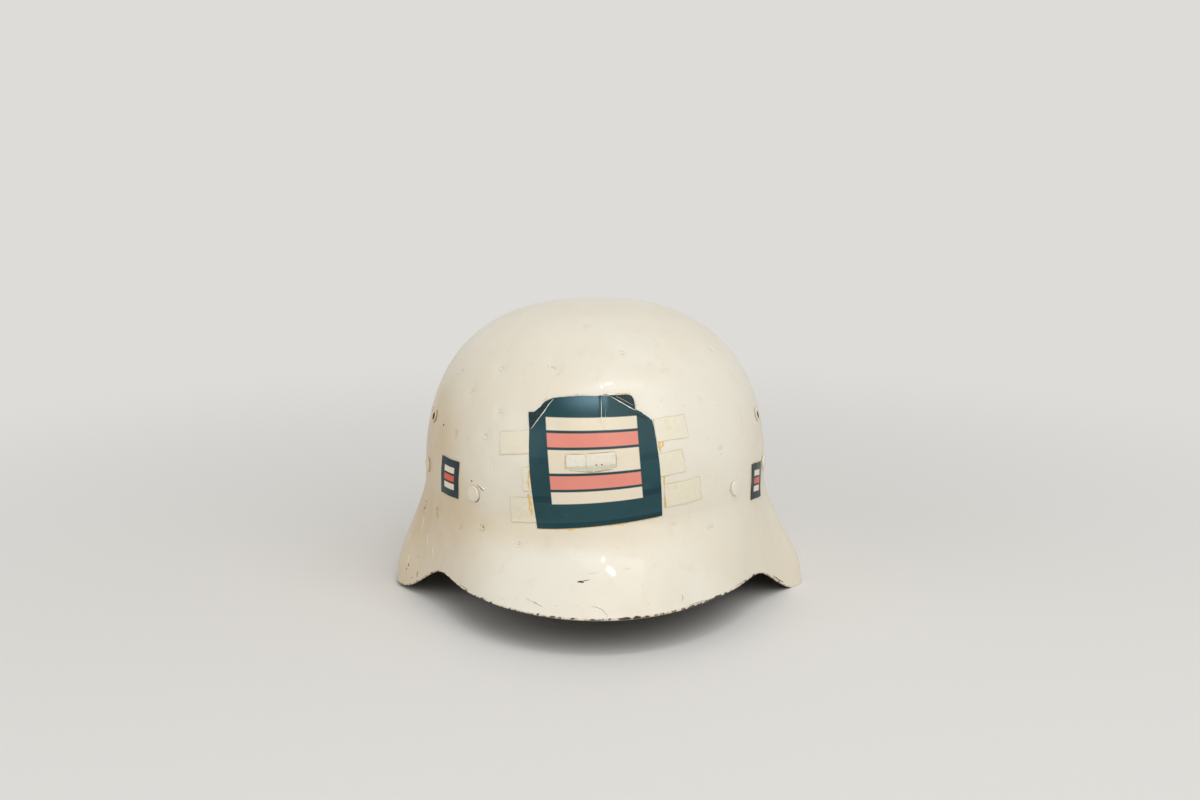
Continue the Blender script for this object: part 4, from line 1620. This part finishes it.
def strap_piece(name, side, line, tip=0.0):
    """A band of leather along a line, which becomes narrower over the length of its tip."""
    centre, square, at = resampled(line)
    flat = np.linspace(6.5, -6.5, 8)
    outline = np.concatenate([rounded_outline(STRAP_WIDTH, STRAP_THICK, 0.55),
                              *([(up * x, up * STRAP_THICK / 2) for x in flat] for up in (1, -1))])
    outline = outline[np.argsort(np.arctan2(outline[:, 1] * 8, outline[:, 0]))]
    rings = []
    for place, normal, done in zip(centre, square, at):
        left = at[-1] - done
        narrow = 0.12 + 0.88 * float(np.sqrt(smooth(-0.5, tip, left))) if tip else 1.0
        thin = 0.6 + 0.4 * float(smooth(0, 1.5, min(left, done)))
        wave = 0.12 * math.sin(done / 7.0) * math.sin(done / 19.0 + side)
        across = outline[:, 0] * narrow * (1 + 0.006 * math.sin(done / 5.0))
        place = place + normal * (outline[:, 1] * thin * 0.97)[:, None]
        rings.append(strap_side(side, place[:, 0], across + wave, place[:, 1]))
    return leather_piece(name, rings, [outline[:, 0] / (STRAP_WIDTH / 2)] * len(rings))


short_strap = strap_piece("strap_with_buckle", 1, short_line)
long_strap = strap_piece("strap_with_holes", -1, long_line, tip=11.0)
print("short strap", round(float(resampled(short_line)[-1][-1])), "mm, long strap",
      round(float(resampled(long_line)[-1][-1])), "mm of leather")

# %% Holes, slot and stitches
HOLE_COUNT, HOLE_STEP, HOLE_RADIUS, SEAM_ACROSS, SEAM_RISE = 8, 7, 1.5, 5.9, 0.86
holes = strap_side(-1, np.array([TIP_X - 14 - HOLE_STEP * i for i in range(HOLE_COUNT)]), 0.0, TIP_Z)
bar = lathe_parts([(0, -1.6), (HOLE_RADIUS, -1.6), (HOLE_RADIUS, 3.0), (0, 3.0)], 20)
upward = np.tile([0, 0, 1.0], (HOLE_COUNT, 1))
cut_by(long_strap, copies_on("strap holes", holes, upward, bar, strap_leather))
x, y = rounded_outline(10.0, 4.0, 1.6, 5).T
slot = [strap_side(1, BUCKLE_RUN + 0.8 + x, y, np.full(len(x), z)) for z in (-1.0, 12.0)]
cut_by(short_strap, turned_right(piece_from("slot blade", *swept_parts(slot), [])))
mounted(long_strap, "strap_long", "strap_leather", "strap_long")
mounted(short_strap, "strap_short", "strap_leather", "strap_short")


def edge_lines(side, line, first, last, rise):
    """Two lines along a stretch of a strap, on the face at the given rise."""
    centre, square, at = resampled(line)
    centre = (centre + square * rise)[(at >= first) & (at <= last)]
    return [strap_side(side, centre[:, 0], y, centre[:, 1]) for y in (-SEAM_ACROSS, SEAM_ACROSS)]


for name, side, line, body in (("short_strap_stitches", 1, short_line, "strap_short"),
                               ("long_strap_stitches", -1, long_line, "strap_long")):
    lines = edge_lines(side, line, 34, 56, -SEAM_RISE)
    if side > 0:
        total = resampled(line)[-1][-1]
        lines += edge_lines(side, line, total - 15.5, total - 1.0, SEAM_RISE)
    mounted(stitches_along(name, lines, 3.1, 2.2, 0.36), body, "strap_leather")

# %% [markdown]
# ## The keeper
# A short loop of the same leather slides along the buckle half. It is a rounded outline swept round a
# rounded rectangle that leaves the strap a little room.

# %% Bend the keeper
KEEPER_X, KEEPER_LONG, EXTRA = 24.0, 6.0, 2 * SEAT + KEEPER_THICK
loop = rounded_outline(STRAP_WIDTH + EXTRA, STRAP_THICK + EXTRA, 1.1, 6)
along = unit(np.roll(loop, -1, axis=0) - np.roll(loop, 1, axis=0))
section = rounded_outline(KEEPER_LONG, KEEPER_THICK * 0.96, 0.4, 3)
rings = [strap_side(1, KEEPER_X + section[:, 0], y + dz * section[:, 1],
                    SHORT_HEIGHT + z - dy * section[:, 1]) for (y, z), (dy, dz) in zip(loop, along)]
across = [section[:, 0] / (KEEPER_LONG / 2)] * len(rings)
keeper = leather_piece("keeper_loop", rings, across, closed=True)
mounted(keeper, "keeper", "strap_leather", "strap_keeper")

# %% Keep the two boxes, and finish
size = {"cad": cad_box, "visual": [list(corner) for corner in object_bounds()]}
print("visual box", size["visual"])
